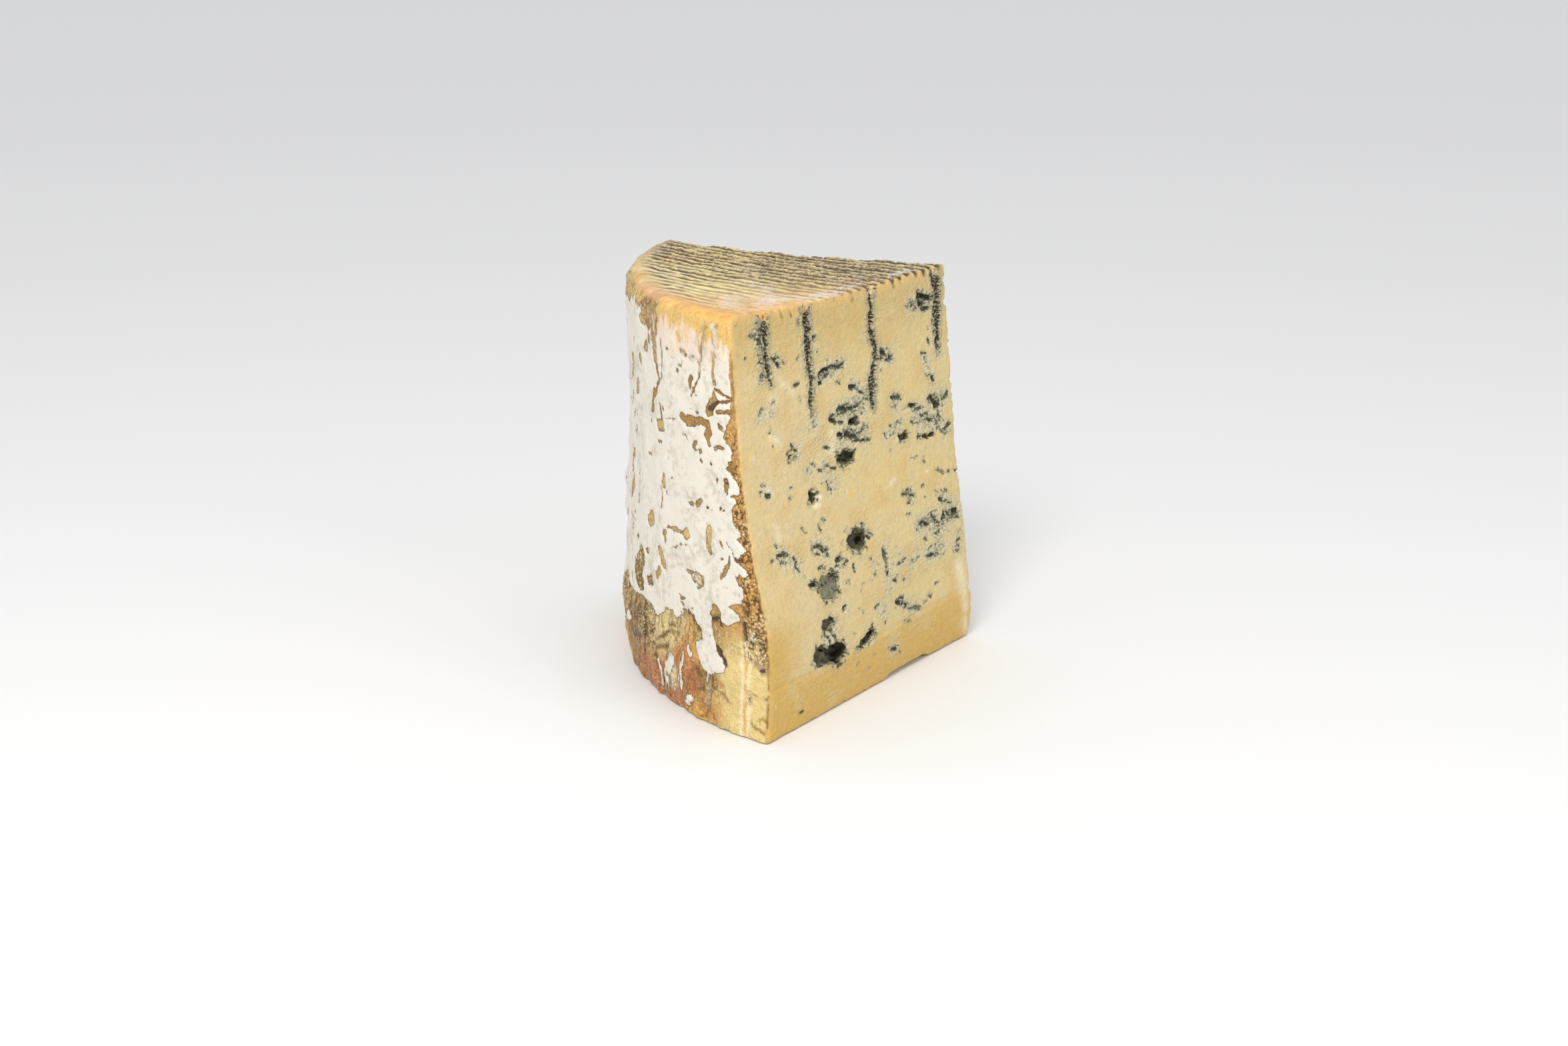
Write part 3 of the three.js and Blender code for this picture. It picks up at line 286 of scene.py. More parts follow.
# Where the bloom is missing, by the colour that shows: [radius, points]
RIND_MARKS = {
    "brown": [
        [2.2, 57, 142, 58, 137, 55, 134.5], [1.6, 47, 138, 46.4, 134],
        [.8, 46.4, 122.6, 45.6, 117.6, 49, 114, 51, 111], [.6, 41.2, 132.4, 41.6, 128.4, 42, 118.6],
        [.55, 12.2, 142.4, 13.6, 136.4, 16, 130.6, 17.2, 124, 22, 116.6],
        [.7, 14.6, 135, 15.6, 132, 16.5, 128.6], [.5, 5.8, 143, 5.9, 139, 5.6, 137],
        [.7, 28, 131.6, 25, 131.4, 23.6, 130.8], [.6, 21.6, 129.7, 20, 130.6, 19, 130.5],
        [.7, 30.6, 124.3, 29.4, 124.7], [.6, 32, 123.6, 31.8, 122.8], [.9, 21.5, 123.8, 22, 122.4],
        [.7, 22, 122, 21.9, 119.8], [.8, 43.2, 108.8, 43, 107.8], [.7, 46.6, 108.8, 45.8, 107, 45.4, 104],
        [.7, 9.6, 121.6, 6, 120.9, 3, 120, .8, 119.4], [.6, 6.6, 117.4, 3, 118.4],
        [.9, 7, 114, 4.6, 114.8, 2, 115], [.3, 25, 112.3, 21, 112.1, 18, 111.8],
        [1.7, 29, 108.7, 26, 108.2, 22, 108, 18, 109, 14.4, 108.6], [1.4, 25, 107, 22, 106.8],
        [1.5, 14, 108.5, 13.2, 106, 14.6, 104.6], [1, 8.3, 109.5, 6.9, 108.8], [.6, 19.6, 95.8, 18, 95.5],
        [.8, 4, 97.5, 3.6, 96, 5, 95], [.5, 4, 94, 2.8, 93.8], [.8, 7, 64.2, 5.6, 64.2],
        [1.4, 78.9, 97.9, 78.3, 98.5], [.8, 56.4, 101], [1.1, 51.6, 112.6, 53, 108, 52.6, 105.6],
        [.6, 54, 142.4, 51, 143.4], [1.1, 92.9, 74.2, 90.1, 75.4], [1, 92, 47, 91.4, 43],
        [.8, 24.8, 19.4, 24.2, 15]],
    "olive": [
        [1.6, 51, 139.6, 51, 134.4], [.7, 51.4, 111, 54, 104.6], [.8, 9, 133.2, 9.2, 131.6],
        [.5, 49, 99.6, 44, 100.2], [.7, 50, 94.8, 46.6, 96], [1.7, 13, 113, 11, 115.4, 9, 117.6],
        [.8, 14.8, 104, 13.8, 101.6], [.8, 23.4, 99.8, 21.4, 101.2, 20.2, 101.6], [.6, 22, 99, 21, 98.9],
        [.8, 19.3, 98.7, 18.8, 98.7], [.7, 11, 101, 9, 102.3, 7.2, 101.5], [1.2, 6.4, 91, 6.6, 89.4],
        [.8, 7.2, 89.4, 7, 87.2], [.7, 12.3, 89.3, 11.6, 90.2], [.6, 45, 79, 44.8, 78],
        [.8, 28.6, 78.3, 27, 78.8], [.9, 25.2, 79.4, 23.2, 80.8, 21.8, 81.5],
        [.8, 19.3, 69, 20.2, 65, 20.6, 64], [.5, 15, 62.5, 13.6, 62.9], [.7, 13.8, 69, 13.7, 67],
        [.6, 10.4, 64.6, 10.8, 62.6, 11.4, 61], [.8, 12, 60.7, 14, 59, 15.6, 57.6, 17, 57.2],
        [.7, 46.6, 66.3, 45.8, 66.8], [1.1, 49, 64.6, 50, 63, 49.6, 61], [.8, 36, 53.7, 33.6, 53.9],
        [.8, 27, 53.8, 27.4, 52], [.5, 27.6, 51.6, 29.6, 50, 31, 49.7], [.35, 34.4, 53, 32, 50.6, 31, 49.8],
        [.9, 23, 45.2, 22.2, 44.8], [.5, 43.2, 44], [.6, 43, 42.6, 40.4, 43.1], [.8, 42.2, 40.5],
        [1.1, 41.8, 37.5], [.6, 44, 36.8], [.9, 69.5, 51.7, 67.5, 52.3], [1.8, 50, 141, 47, 142],
        [3.4, 76.1, 48.7, 78.9, 43.9], [3.2, 81.6, 41.6, 78.4, 37.4], [1.8, 69.5, 41.5, 67.5, 42.1],
        [1, 36, 32, 32.4, 31]],
    "drab": [
        [2.1, 49.4, 132.4, 48.2, 128.6, 48.4, 124.4], [2, 59.8, 126.2, 58.8, 126.8],
        [1.7, 54.8, 129.8, 53.6, 130.6], [2.3, 67.4, 120.1, 66.8, 120.9], [2.5, 75.6, 108.2, 74.6, 109.8]],
    "umber": [
        [.4, 46.4, 109.4, 45.6, 103.6], [.4, 33.3, 41.2], [.3, 26.2, 26.4], [.8, 88, 58, 89, 54],
        [.6, 90, 37, 91, 34], [.9, 82.1, 53.2, 81.7, 53], [.6, 77.5, 46.3, 75.9, 50.7, 74.2, 49.6],
        [.5, 70, 40.2, 67.4, 43], [.5, 82.9, 45.4, 80.1, 42.6],
        [.6, 38.6, 39.6, 35, 38.4, 33.2, 36, 31.6, 34]],
    "tan": [
        [.9, 9.3, 132, 9.8, 127.6, 9.2, 123.8], [1, 13, 142, 13.6, 138, 14.6, 134.6],
        [.7, 29, 126.4, 27, 126.6], [.7, 26.6, 128.2], [1, 28.6, 136.4, 27.8, 134.6],
        [.4, 45.4, 118.3, 43.4, 118.4], [.25, 42, 104.8, 38, 105.5, 34, 106.5], [1.5, 46.6, 83.4, 47, 81],
        [.3, 10.6, 69.5, 8, 66], [1.8, 34.6, 66.5, 33.6, 67.1], [.7, 33, 67, 40, 67, 44.6, 66.2],
        [.3, 34, 63.3, 38.6, 62.3, 41, 60.5, 46, 59], [1.1, 80, 124.7, 78.6, 125.5],
        [1.8, 84.2, 116.6, 81.8, 118.2], [1.4, 79.3, 66.8, 78.5, 68.2], [.6, 60, 88.4, 57.6, 88.8],
        [.9, 77, 77], [1.6, 64, 136, 60, 134.6], [1.3, 87.6, 110.5, 84.4, 114.1],
        [1, 93.7, 104.3, 89.3, 109.3], [1.1, 95.2, 98.2, 88.8, 103.8], [.9, 89.3, 95, 85.7, 97.8],
        [1, 95.9, 56.6, 93.1, 59.4]],
    "flake": [[1, 8, 143, 6.7, 142, 6.3, 138, 6.8, 133.6]],
    "dark": [
        [.3, 8.4, 137.4, 8, 136.2], [.2, 8.2, 133, 5, 132.6], [.3, 36.8, 130.1, 35.8, 130.2],
        [.2, 33.6, 128.3, 31, 128.6], [.3, 33.6, 118.7], [.3, 19.6, 117.5, 18.4, 117.8],
        [.3, 14.8, 127.6, 14, 127.4], [.3, 4, 125.2], [.9, 12.6, 113.8, 9.6, 115.8, 7.2, 117.8],
        [.4, 29, 101, 28.8, 102.2, 27.4, 102.4, 27, 101.5, 26, 101], [.5, 13.2, 95.4, 13, 94.8],
        [.25, 14, 88], [.3, 40.4, 84.6, 39.4, 84.8], [.6, 18.6, 79, 17.8, 79.2], [.3, 17, 78.2],
        [.3, 15.7, 78.3], [.3, 15.3, 79], [.4, 11.8, 80.6, 11, 81.8], [.4, 10, 80.5, 9.2, 80.7],
        [.3, 18.5, 64.2], [.4, 16.6, 63.2], [.4, 14.5, 52.9], [.4, 6.2, 54.9], [.35, 5.8, 57],
        [.3, 8.8, 52.3], [.3, 8.9, 51], [.3, 26.3, 36.2], [.4, 26.6, 33.9], [.3, 26.2, 32.4],
        [.3, 26.1, 30.4], [.8, 85.8, 61.1, 84.8, 56.3], [.6, 25, 39.6, 21.4, 41.4, 20.4, 38.6],
        [.7, 23.4, 30.4, 21.8, 28, 20, 26.6, 19, 25.6]],
    "ochre": [
        [1.8, 49, 101.6, 46.4, 102.2], [.6, 48.8, 79, 49.6, 74.6, 50.4, 71.8],
        [.5, 33, 54, 29, 54.5, 27, 54], [.6, 35.6, 41.5], [2.2, 63.4, 63.6, 60, 66.2],
        [2, 55, 55.4, 54.4, 51.4], [1.3, 58, 48.4, 60.4, 45.6], [3, 60, 138, 54, 139],
        [1.1, 84.1, 88.3, 78.9, 93.1], [2.5, 96, 62.1, 91.6, 68, 88.4, 71.7]],
    "amber": [
        [.9, 9.6, 119.6], [.5, 5, 86.2, 2, 86.8], [1, 8.5, 57.5, 7.8, 55.6],
        [1.8, 94.4, 76.8, 90.4, 79.6, 87.2, 82.1]],
    "butter": [[1.5, 18.8, 72, 20, 68.4, 21, 66]],
    "lip": [[1.3, 31.4, 52.4, 29.6, 52]],
}
# Strokes on the ground without bloom: [radius, points]
GROUND_MARKS = {
    "cream": [[3, 50, 13.6, 50.8, 9], [.5, 11.6, 0, 11.3, 20, 11, 34], [.5, 8.8, 0, 8.8, 18, 8.6, 36]],
    "tan": [[1.2, 47.4, 14, 47.6, 9.6]],
    "grey tan": [[1, 28.2, 18, 28, 12, 28.6, 6], [1.4, 4, 29, 1.6, 27], [1.2, 1.6, 34, .6, 32]],
    "umber": [
        [.5, 92, 58, 91, 36, 93, 22], [.5, 104, 60, 103, 24], [.3, 53, 30, 48, 31], [.3, 60, 22, 52, 27.6],
        [.3, 61, 18.6, 53, 21.6], [.5, 33.6, 19.6, 32.4, 17.4], [.3, 35, 12, 30, 13.4],
        [.3, 43.6, 20, 43, 12], [.4, 72, 23.4, 66, 22.6], [.4, 84, 22, 78, 26], [.4, 86, 14, 78, 18],
        [.3, 27, 21, 24.6, 14]],
    "crack": [
        [.4, 84, 50, 83, 32, 85, 16], [.4, 98, 52, 97, 30], [.35, 73, 36, 72, 22, 74, 12], [.4, 30.4, 6.6],
        [.35, 33.6, 10.4]],
    "orange": [[1.6, 31, 9, 28, 4]],
    "rust": [[1, 36, 20, 35, 12], [1.6, 40, 15, 37.6, 11]],
    "honey": [[.5, 10.2, 2, 10, 34]],
    "dark": [
        [.3, 8.4, 18.4], [.3, 8.3, 16.6, 8.6, 13.6], [.3, .8, 17], [.8, 9.2, 42, 8.8, 37],
        [.4, 7.4, 47.4, 5.4, 47], [.6, 2.6, 26.6, 1.6, 27.4], [.3, 3.4, 36.6, 2, 36.4], [.4, 62, 16, 60, 9]],
    "brown": [
        [.25, 6.9, 7, 4, 5, 1.4, 4.2], [.3, 3.4, 9.2], [.3, 1.2, 9.2], [.3, 5.3, 17.8],
        [.6, 20.4, 13.4, 18.4, 11.6], [.7, 9, 44, 9, 39], [1, 31.6, 15, 28.6, 16.6], [.8, 33, 9, 31, 6],
        [.6, 47, 13, 42, 11], [.5, 56.6, 12.6, 53.4, 9.4], [.5, 52, 10.4, 50.4, 7.8],
        [.5, 59.6, 11, 57.4, 8]],
    "amber": [[1, 23, 17.4, 21.8, 17]],
    "white": [[.6, 6, 37.6, 5.4, 39.2]],
    "olive": [[.5, 50, 28, 46, 28.6], [.9, 75, 29, 68, 31]],
}
# Patches of bloom below its edge: [radius, points]
BLOOM_PATCHES = [
    [.5, 28, 20, 28.2, 16], [.5, 42.6, 22, 43, 15, 43.2, 9], [1.3, 39.6, 25.6, 38, 23.6],
    [2.3, 50, 18, 52.6, 14], [1.2, 55, 11.6, 54.2, 8], [.4, 54.8, 10, 55.2, 3.6], [.35, 53, 9, 52.6, 3.8],
    [.35, 51.4, 10, 50.6, 5], [.3, 49.8, 9, 48.4, 6], [.8, 60.2, 14, 59, 9.5, 57.4, 5],
    [.3, 44, 19, 44.6, 11], [1.2, 38.8, 6.4, 36.8, 7], [.8, 41, 4.6, 38.4, 4.6], [1.6, 98, 19, 92, 20],
    [2, 122, 16, 118, 19],
]
# The ground's colour under the bloom and below it: [reach, along, height]
RIND_GROUND = {
    "butter": [[9, 4, 8], [9, 14, 12], [8, 8, 22], [7, 17, 29], [4, 4, 34], [9, 152, 16]],
    "amber": [
        [5, 13, 43], [4, 19, 37], [4, 25, 7], [4, 94, 46], [9, 110, 12], [4, 3, 45], [4, 2, 68], [4, 3, 79],
        [4, 2, 105]],
    "honey": [[5, 31, 7], [5, 36, 28], [5, 84, 34], [4, 4, 55], [5, 1, 90], [5, 1, 125]],
    "rust": [[4, 38, 12], [5, 76, 9]],
    "orange": [[5, 41, 22], [4, 47, 9], [8, 138, 10]],
    "olive": [[4, 23, 35], [5, 78, 24]],
    "brown": [[4, 30, 16], [6, 88, 20], [7, 90, 7], [5, 55, 141]],
    "pale olive": [[6, 49, 32], [6, 58, 29]],
    "ochre": [[6, 68, 20], [8, 97, 27], [9, 124, 24], [9, 168, 12], [3, 8, 39], [9, 90, 144], [9, 80, 44]],
    "pink": [[6, 52, 4], [7, 64, 3]],
    "gold": [[9, 8, 146], [9, 25, 146], [9, 42, 146], [8, 70, 146], [9, 140, 145], [9, 165, 145]],
    "tan": [[9, 115, 145], [12, 60, 90]],
}
# Lumps of crust, and a few hollows: [along, height, width, height of the lump, how proud]
CRAGS = [
    [118, 130, 4, 5, 1.2], [121, 86, 4, 6, 1], [112, 104, 4, 4, .8], [8, 112, 5, 12, .9], [5, 100, 4, 16, .7],
    [6, 84, 4.5, 11, .8], [5, 62, 6, 16, .9], [5, 44, 6, 18, 1.1], [3, 28, 5, 8, .9], [22, 108, 12, 4, -.4],
    [115, 66, 6, 5, 1.6], [110, 57, 5, 5, 1.5], [80, 44, 16, 14, .8], [6.6, 138.4, 1.7, 9, 1.4],
    [140, 90, 9, 6, .8], [158, 40, 8, 12, .9], [6, 139, 3, 10, .7], [34, 8, 8, 8, .5], [20, 10, 10, 12, -.3],
]
# Crusty patches: [strength, then from no crust to full: along, height from below, height from above]
CRUST_PATCHES = [
    [1, 12, 7, 26, 32, 124, 90], [.9, 58, 64, 10, 16, 60, 54], [.9, 86, 98, 16, 26, 126, 112],
    [.5, 40, 50, 132, 138, 300, 299],
]

# ---- Top ----
# Its colour: [reach, x, y]
TOP_GROUND = {
    "gold top": [[9, -122, 30], [9, -112, 14], [9, -121, 50], [7, -96, 10]],
    "rose": [[7, -112, 62], [6, -104, 76]],
    "honey": [[6, -92, 92]],
    "crest": [[10, -100, 56], [11, -88, 70], [10, -72, 84], [11, -84, 50], [10, -66, 60]],
    "peach": [[9, -106, 36], [11, -92, 28], [10, -74, 22]],
    "straw": [[9, -58, 72], [8, -4, 13], [6, -80, 10]],
    "tan": [[12, -66, 98], [12, -64, 40], [10, -44, 90]],
    "drab": [[12, -50, 44], [12, -30, 56], [9, -46, 108]],
    "grey tan": [[14, -30, 34], [10, -14, 22]],
    "pink tan": [[6, -46, 20]],
}
# Its wisps of white: [strength, radius, x and y of each point]
TOP_WISPS = [
    [1, 4, -92, 28, -78, 20, -66, 18], [.8, 5, -100, 24, -84, 34], [.7, 6, -112, 30, -96, 40],
    [.6, 5, -118, 22, -104, 20], [.6, 5, -76, 40, -70, 56], [.8, 3, -60, 20, -48, 20],
    [.9, 3, -30, 19, -20, 18], [.5, 5, -100, 56, -92, 70], [.4, 6, -120, 50, -112, 66],
    [.5, 4, -50, 30, -40, 26], [.5, 6, -84, 80, -70, 96], [.4, 5, -56, 60, -48, 74],
]


# ---- Numbers ----
def smoothstep(low, high, value):
    share = np.clip((value - low) / (high - low), 0, 1)
    return share * share * (3 - 2 * share)


def blend(first, second, share):
    return first + (second - first) * share


def bell(value, reach):
    """1 at 0, fading on both sides."""
    return np.exp(-(value / reach) ** 2)


EDGES = np.array([(x, y, z) for x in (-1, 0, 1) for y in (-1, 0, 1) for z in (-1, 0, 1)
                  if abs(x) + abs(y) + abs(z) == 2], np.float32)
DIRECTIONS = np.concatenate([EDGES, EDGES[:4]])
CELL_PRIMES = (73856093, 19349663, 83492791)
SEED_PRIME = 2654435761
MIX_PRIME = 1274126177


def noise(points, spacing, seed):
    """Smooth random values, about -1 to 1, whose lumps are spacing millimetres apart."""
    scaled = np.asarray(points, np.float32) / np.float32(spacing)
    cell = np.floor(scaled)
    part = scaled - cell
    cell = cell.astype(np.int64)
    fade = part ** 3 * (part * (part * 6 - 15) + 10)
    total = np.zeros(len(part), np.float32)
    for corner in range(8):
        bits = np.array([corner & 1, corner >> 1 & 1, corner >> 2 & 1])
        at = (cell + bits).astype(np.uint32)
        mixed = np.full(len(at), seed * SEED_PRIME & 0xffffffff, np.uint32)
        for axis, prime in enumerate(CELL_PRIMES):
            mixed ^= at[:, axis] * np.uint32(prime)
        mixed ^= mixed >> np.uint32(13)
        mixed *= np.uint32(MIX_PRIME)
        mixed ^= mixed >> np.uint32(16)
        lean = DIRECTIONS[(mixed & np.uint32(15)).astype(np.intp)]
        weight = np.ones(len(part), np.float32)
        for axis in range(3):
            weight *= fade[:, axis] if bits[axis] else 1 - fade[:, axis]
        total += weight * ((part - bits.astype(np.float32)) * lean).sum(1)
    return total


def wandering(points, seed):
    """Offsets in two directions that make a drawn shape's edge uneven."""
    return [0.9 * noise(points, 4.5, seed + i) + 0.45 * noise(points, 1.6, seed + 3 + i) for i in range(2)]


def station_curve(stations):
    """A smooth curve through rows of height and size."""
    height, size = np.array(stations, float).T
    steps = np.diff(size) / np.diff(height)
    slope = np.empty_like(size)
    slope[1:-1] = (size[2:] - size[:-2]) / (height[2:] - height[:-2])
    slope[0] = (3 * steps[0] - slope[1]) / 2
    slope[-1] = (3 * steps[-1] - slope[-2]) / 2

    def curve(z):
        z = np.clip(z, height[0], height[-1])
        i = np.clip(np.searchsorted(height, z, side="right") - 1, 0, len(height) - 2)
        width = height[i + 1] - height[i]
        t = (z - height[i]) / width
        return ((1 + 2 * t) * (1 - t) ** 2 * size[i] + t * (1 - t) ** 2 * width * slope[i]
                + t * t * (3 - 2 * t) * size[i + 1] + t * t * (t - 1) * width * slope[i + 1])
    return curve


# ---- Where each place is in the wedge ----
tip_lean = station_curve(TIP_LEAN)
corner_lean = station_curve(CORNER_LEAN)
corner_radius = station_curve(CORNER_RADIUS)
rind_radius = station_curve(RIND_RADIUS)


def corner_azimuth(z):
    return np.arcsin((corner_lean(z) - tip_lean(z)) / corner_radius(z))


def top_height(x, y):
    """The top without its ridges, how far in from its rim each point is, and the shoulder's radius."""
    across, along = -TIP_SLIP - x, y - tip_lean(HEIGHT)
    distance = np.hypot(across, along)
    azimuth = np.clip(np.arctan2(along, across), 0, WEDGE_ANGLE)
    share = smoothstep(0, SETTLED_FROM, azimuth)
    rim = blend(corner_radius(HEIGHT), rind_radius(HEIGHT), share)
    dish = RIM_RISE * np.minimum(1, distance / rim) ** 5
    dish = dish + TIP_RISE * bell(distance, TIP_RISE_REACH)
    return HEIGHT + dish, rim - distance, blend(CORNER_SHOULDER_RADIUS, SHOULDER_RADIUS, share)


class Depths:
    """Where points are in the wedge: how far under each face, and how far along the faces."""

    def __init__(self, x, y, z):
        self.x, self.y, self.z = x, y, z
        lean, corner = tip_lean(z), corner_azimuth(z)
        across, along = -x - TIP_SLIP * z / HEIGHT, y - lean
        distance = np.hypot(across, along)
        azimuth = np.arctan2(along, across)
        share = smoothstep(0, SETTLED_FROM, azimuth)
        self.front = along * np.cos(corner) - across * np.sin(corner)
        self.back = across * math.sin(WEDGE_ANGLE) - along * math.cos(WEDGE_ANGLE)
        self.rind = blend(corner_radius(z), rind_radius(z), share) - distance
        height, self.rim_in, self.shoulder = top_height(x, y)
        self.top = height - z
        self.foot = z + 0 * self.top
        self.front_along = across * np.cos(corner) + along * np.sin(corner)
        self.back_along = across * math.cos(WEDGE_ANGLE) + along * math.sin(WEDGE_ANGLE)
        self.rind_along = RIND_TURN * (azimuth - corner)

    def part(self, at):
        """The same for some of the points."""
        return Depths(self.x[at], self.y[at], self.z[at])

    def cut(self, side):
        """How far under a cut, and how far along it: 0 is the front cut, 1 the back cut."""
        return (self.back, self.back_along) if side else (self.front, self.front_along)

    def faces(self):
        return self.front, self.back, self.rind, self.top, self.foot


def rounded(first, second, radius):
    """The lesser of two depths, with the edge between them rounded."""
    corner = radius - np.hypot(np.maximum(radius - first, 0), np.maximum(radius - second, 0))
    return np.where((first > radius) & (second > radius), np.minimum(first, second), corner)


def joined(front, back, rind, top, foot, shoulder, z):
    """How far inside the wedge each place is."""
    tip_round = blend(TIP_ROUND, SHARP_TIP_ROUND, smoothstep(TIP_ROUND_TOP - 4, TIP_ROUND_TOP + 4, z))
    body = rounded(rounded(rind, top, shoulder), rounded(front, back, tip_round), EDGE_ROUND)
    return rounded(body, foot, FOOT_ROUND)


# ---- Maps over the faces ----
FAR_OFF = -4.0           # a map's value away from its strokes
CUT_LOW, CUT_HIGH = (-6, -6), (140, 156)
RIND_LOW, RIND_HIGH = (-8, -6), (184, 156)
TOP_LOW, TOP_HIGH = (-140, -8), (8, 136)
CUT_STEP, BLOOM_STEP, TOP_STEP = 0.25, 0.4, 0.5
WEAKNESS = 0.9           # a stroke of no strength would be narrower by this much
WIDE_HOLE = 4            # narrower holes get no ragged rim
BACK_CLUSTERS = 72
HIDDEN_MARKS = 46


def line_distances(u, v, points, closed=False):
    """Distance from each place to a line through the points, and which places it goes round."""
    near = np.full(u.shape, 1e3)
    inside = np.zeros(u.shape, bool)
    ends = np.roll(points, -1, 0) if closed else (points[1:] if len(points) > 1 else points)
    for (au, av), (bu, bv) in zip(points, ends):
        du, dv = bu - au, bv - av
        share = np.clip(((u - au) * du + (v - av) * dv) / max(du * du + dv * dv, 1e-9), 0, 1)
        near = np.minimum(near, np.hypot(u - au - share * du, v - av - share * dv))
        if closed and dv:
            inside ^= ((av > v) != (bv > v)) & (u < du * (v - av) / dv + au)
    return near, inside


class Sheet:
    """A flat map over a face, in millimetres, that strokes are drawn on."""

    def __init__(self, low, high, empty, step=CUT_STEP):
        self.low, self.step = np.array(low, float), step
        self.axes = [np.arange(low[i], high[i] + step, step) for i in (0, 1)]
        self.value = np.full([len(axis) for axis in self.axes], empty, np.float32)

    def distance(self, row_points, reach):
        """The part of the map within reach of a line, and its distance to the line."""
        points = np.array(row_points, float).reshape(-1, 2)
        spans = []
        for i, axis in enumerate(self.axes):
            start = int((points[:, i].min() - reach - self.low[i]) / self.step)
            stop = int((points[:, i].max() + reach - self.low[i]) / self.step) + 2
            spans.append(slice(max(start, 0), max(min(stop, len(axis)), 0)))
        u, v = np.meshgrid(self.axes[0][spans[0]], self.axes[1][spans[1]], indexing="ij")
        return tuple(spans), line_distances(u, v, points)[0]

    def draw(self, row_points, radius):
        """Raises the map to radius - distance."""
        window, near = self.distance(row_points, radius - FAR_OFF)
        self.value[window] = np.maximum(self.value[window], radius - near)

    def glow(self, row_points, radius, strength):
        """Raises the map to strength, fading over one radius more."""
        window, near = self.distance(row_points, 2.5 * radius)
        self.value[window] = np.maximum(self.value[window], strength * bell(near, 1.15 * radius))

    def read(self, u, v):
        """The map's value at each place."""
        places = []
        for i, value in enumerate((u, v)):
            at = np.clip((value - self.low[i]) / self.step, 0, len(self.axes[i]) - 1.001)
            places.append((at.astype(np.intp), at - np.floor(at)))
        (iu, fu), (iv, fv) = places
        lower = self.value[iu, iv] * (1 - fu) + self.value[iu + 1, iv] * fu
        upper = self.value[iu, iv + 1] * (1 - fu) + self.value[iu + 1, iv + 1] * fu
        return lower * (1 - fv) + upper * fv


random = np.random.default_rng(7)


def scattered_veins(count):
    """Clusters of short veins, as on the cut that shows."""
    rows, halos = [], []
    for _ in range(count):
        centre = random.uniform((8, 14), (122, 138))
        spread = random.uniform(1.5, 4.5)
        for _ in range(random.integers(2, 7)):
            start = centre + random.normal(0, 1, 2) * (spread, 0.55 * spread)
            run = random.uniform(0.4, 2.6) * np.array((1, random.normal(0, 0.35)))
            rows.append([random.uniform(.5, 1), random.uniform(.4, .9), *start, *(start + run)])
        halos.append([random.uniform(.3, .8), 0.9 * spread + 1, *centre])
    return rows, halos


def ragged_rim(row):
    """Short mouldy strokes round the mouth of a hole."""
    along, z, width, height, _, tilt = row
    lean = math.radians(tilt)
    strokes = []
    for turn in np.arange(0, 2 * math.pi, 2.6 / max(width, height)):
        size = 0.52 * random.uniform(0.95, 1.2)
        u, v = size * width * math.cos(turn), size * height * math.sin(turn)
        start = (along + u * math.cos(lean) + v * math.sin(lean), z + v * math.cos(lean) - u * math.sin(lean))
        strength, radius = random.uniform(.3, .8), random.uniform(.4, .7)
        strokes.append([strength, radius, *start, *(start + random.normal(0, 0.6, 2))])
    return strokes


def cut_maps(rows, halos, holes, pale, chips):
    """Maps of a cut: its crevices, their shades, pale lumps, yellow chips, and a wide faint haze."""
    veins = Sheet(CUT_LOW, CUT_HIGH, FAR_OFF)
    wide = [row for row in holes if row[2] > WIDE_HOLE]
    for strength, radius, *points in rows + [stroke for row in wide for stroke in ragged_rim(row)]:
        veins.draw(points, radius - (1 - strength) * WEAKNESS)
    halos = halos + [[.45, 0.5 * row[3] + 1.5, row[0], row[1]] for row in wide]
    shades = [Sheet(CUT_LOW, CUT_HIGH, 0.0) for _ in range(4)]
    hazes = [(0.5 * strength, 2.4 * radius, *points) for strength, radius, *points in halos]
    for sheet, sheet_rows in zip(shades, (halos, pale, chips, hazes)):
        for strength, radius, *points in sheet_rows:
            sheet.glow(points, radius, strength)
    return [veins, *shades]


def colour_rows(table):
    """The rows of a table that is sorted by colour, each with its colour first."""
    return [(colour, *row) for colour, rows in table.items() for row in rows]


def hidden_marks(count):
    """Bare marks in the bloom where the photo doesn't show it."""
    rows = []
    for _ in range(count):
        start = random.uniform((100, 30), (172, 138))
        run = random.uniform(0.5, 6) * np.array((random.normal(0, 0.35), 1))
        colour = ("tan", "brown", "olive", "ochre", "dark")[random.integers(0, 5)]
        radius = random.uniform(.3, .8) if colour == "dark" else random.uniform(.5, 2.1)
        rows.append((colour, radius, *start, *(start + run)))
    return rows


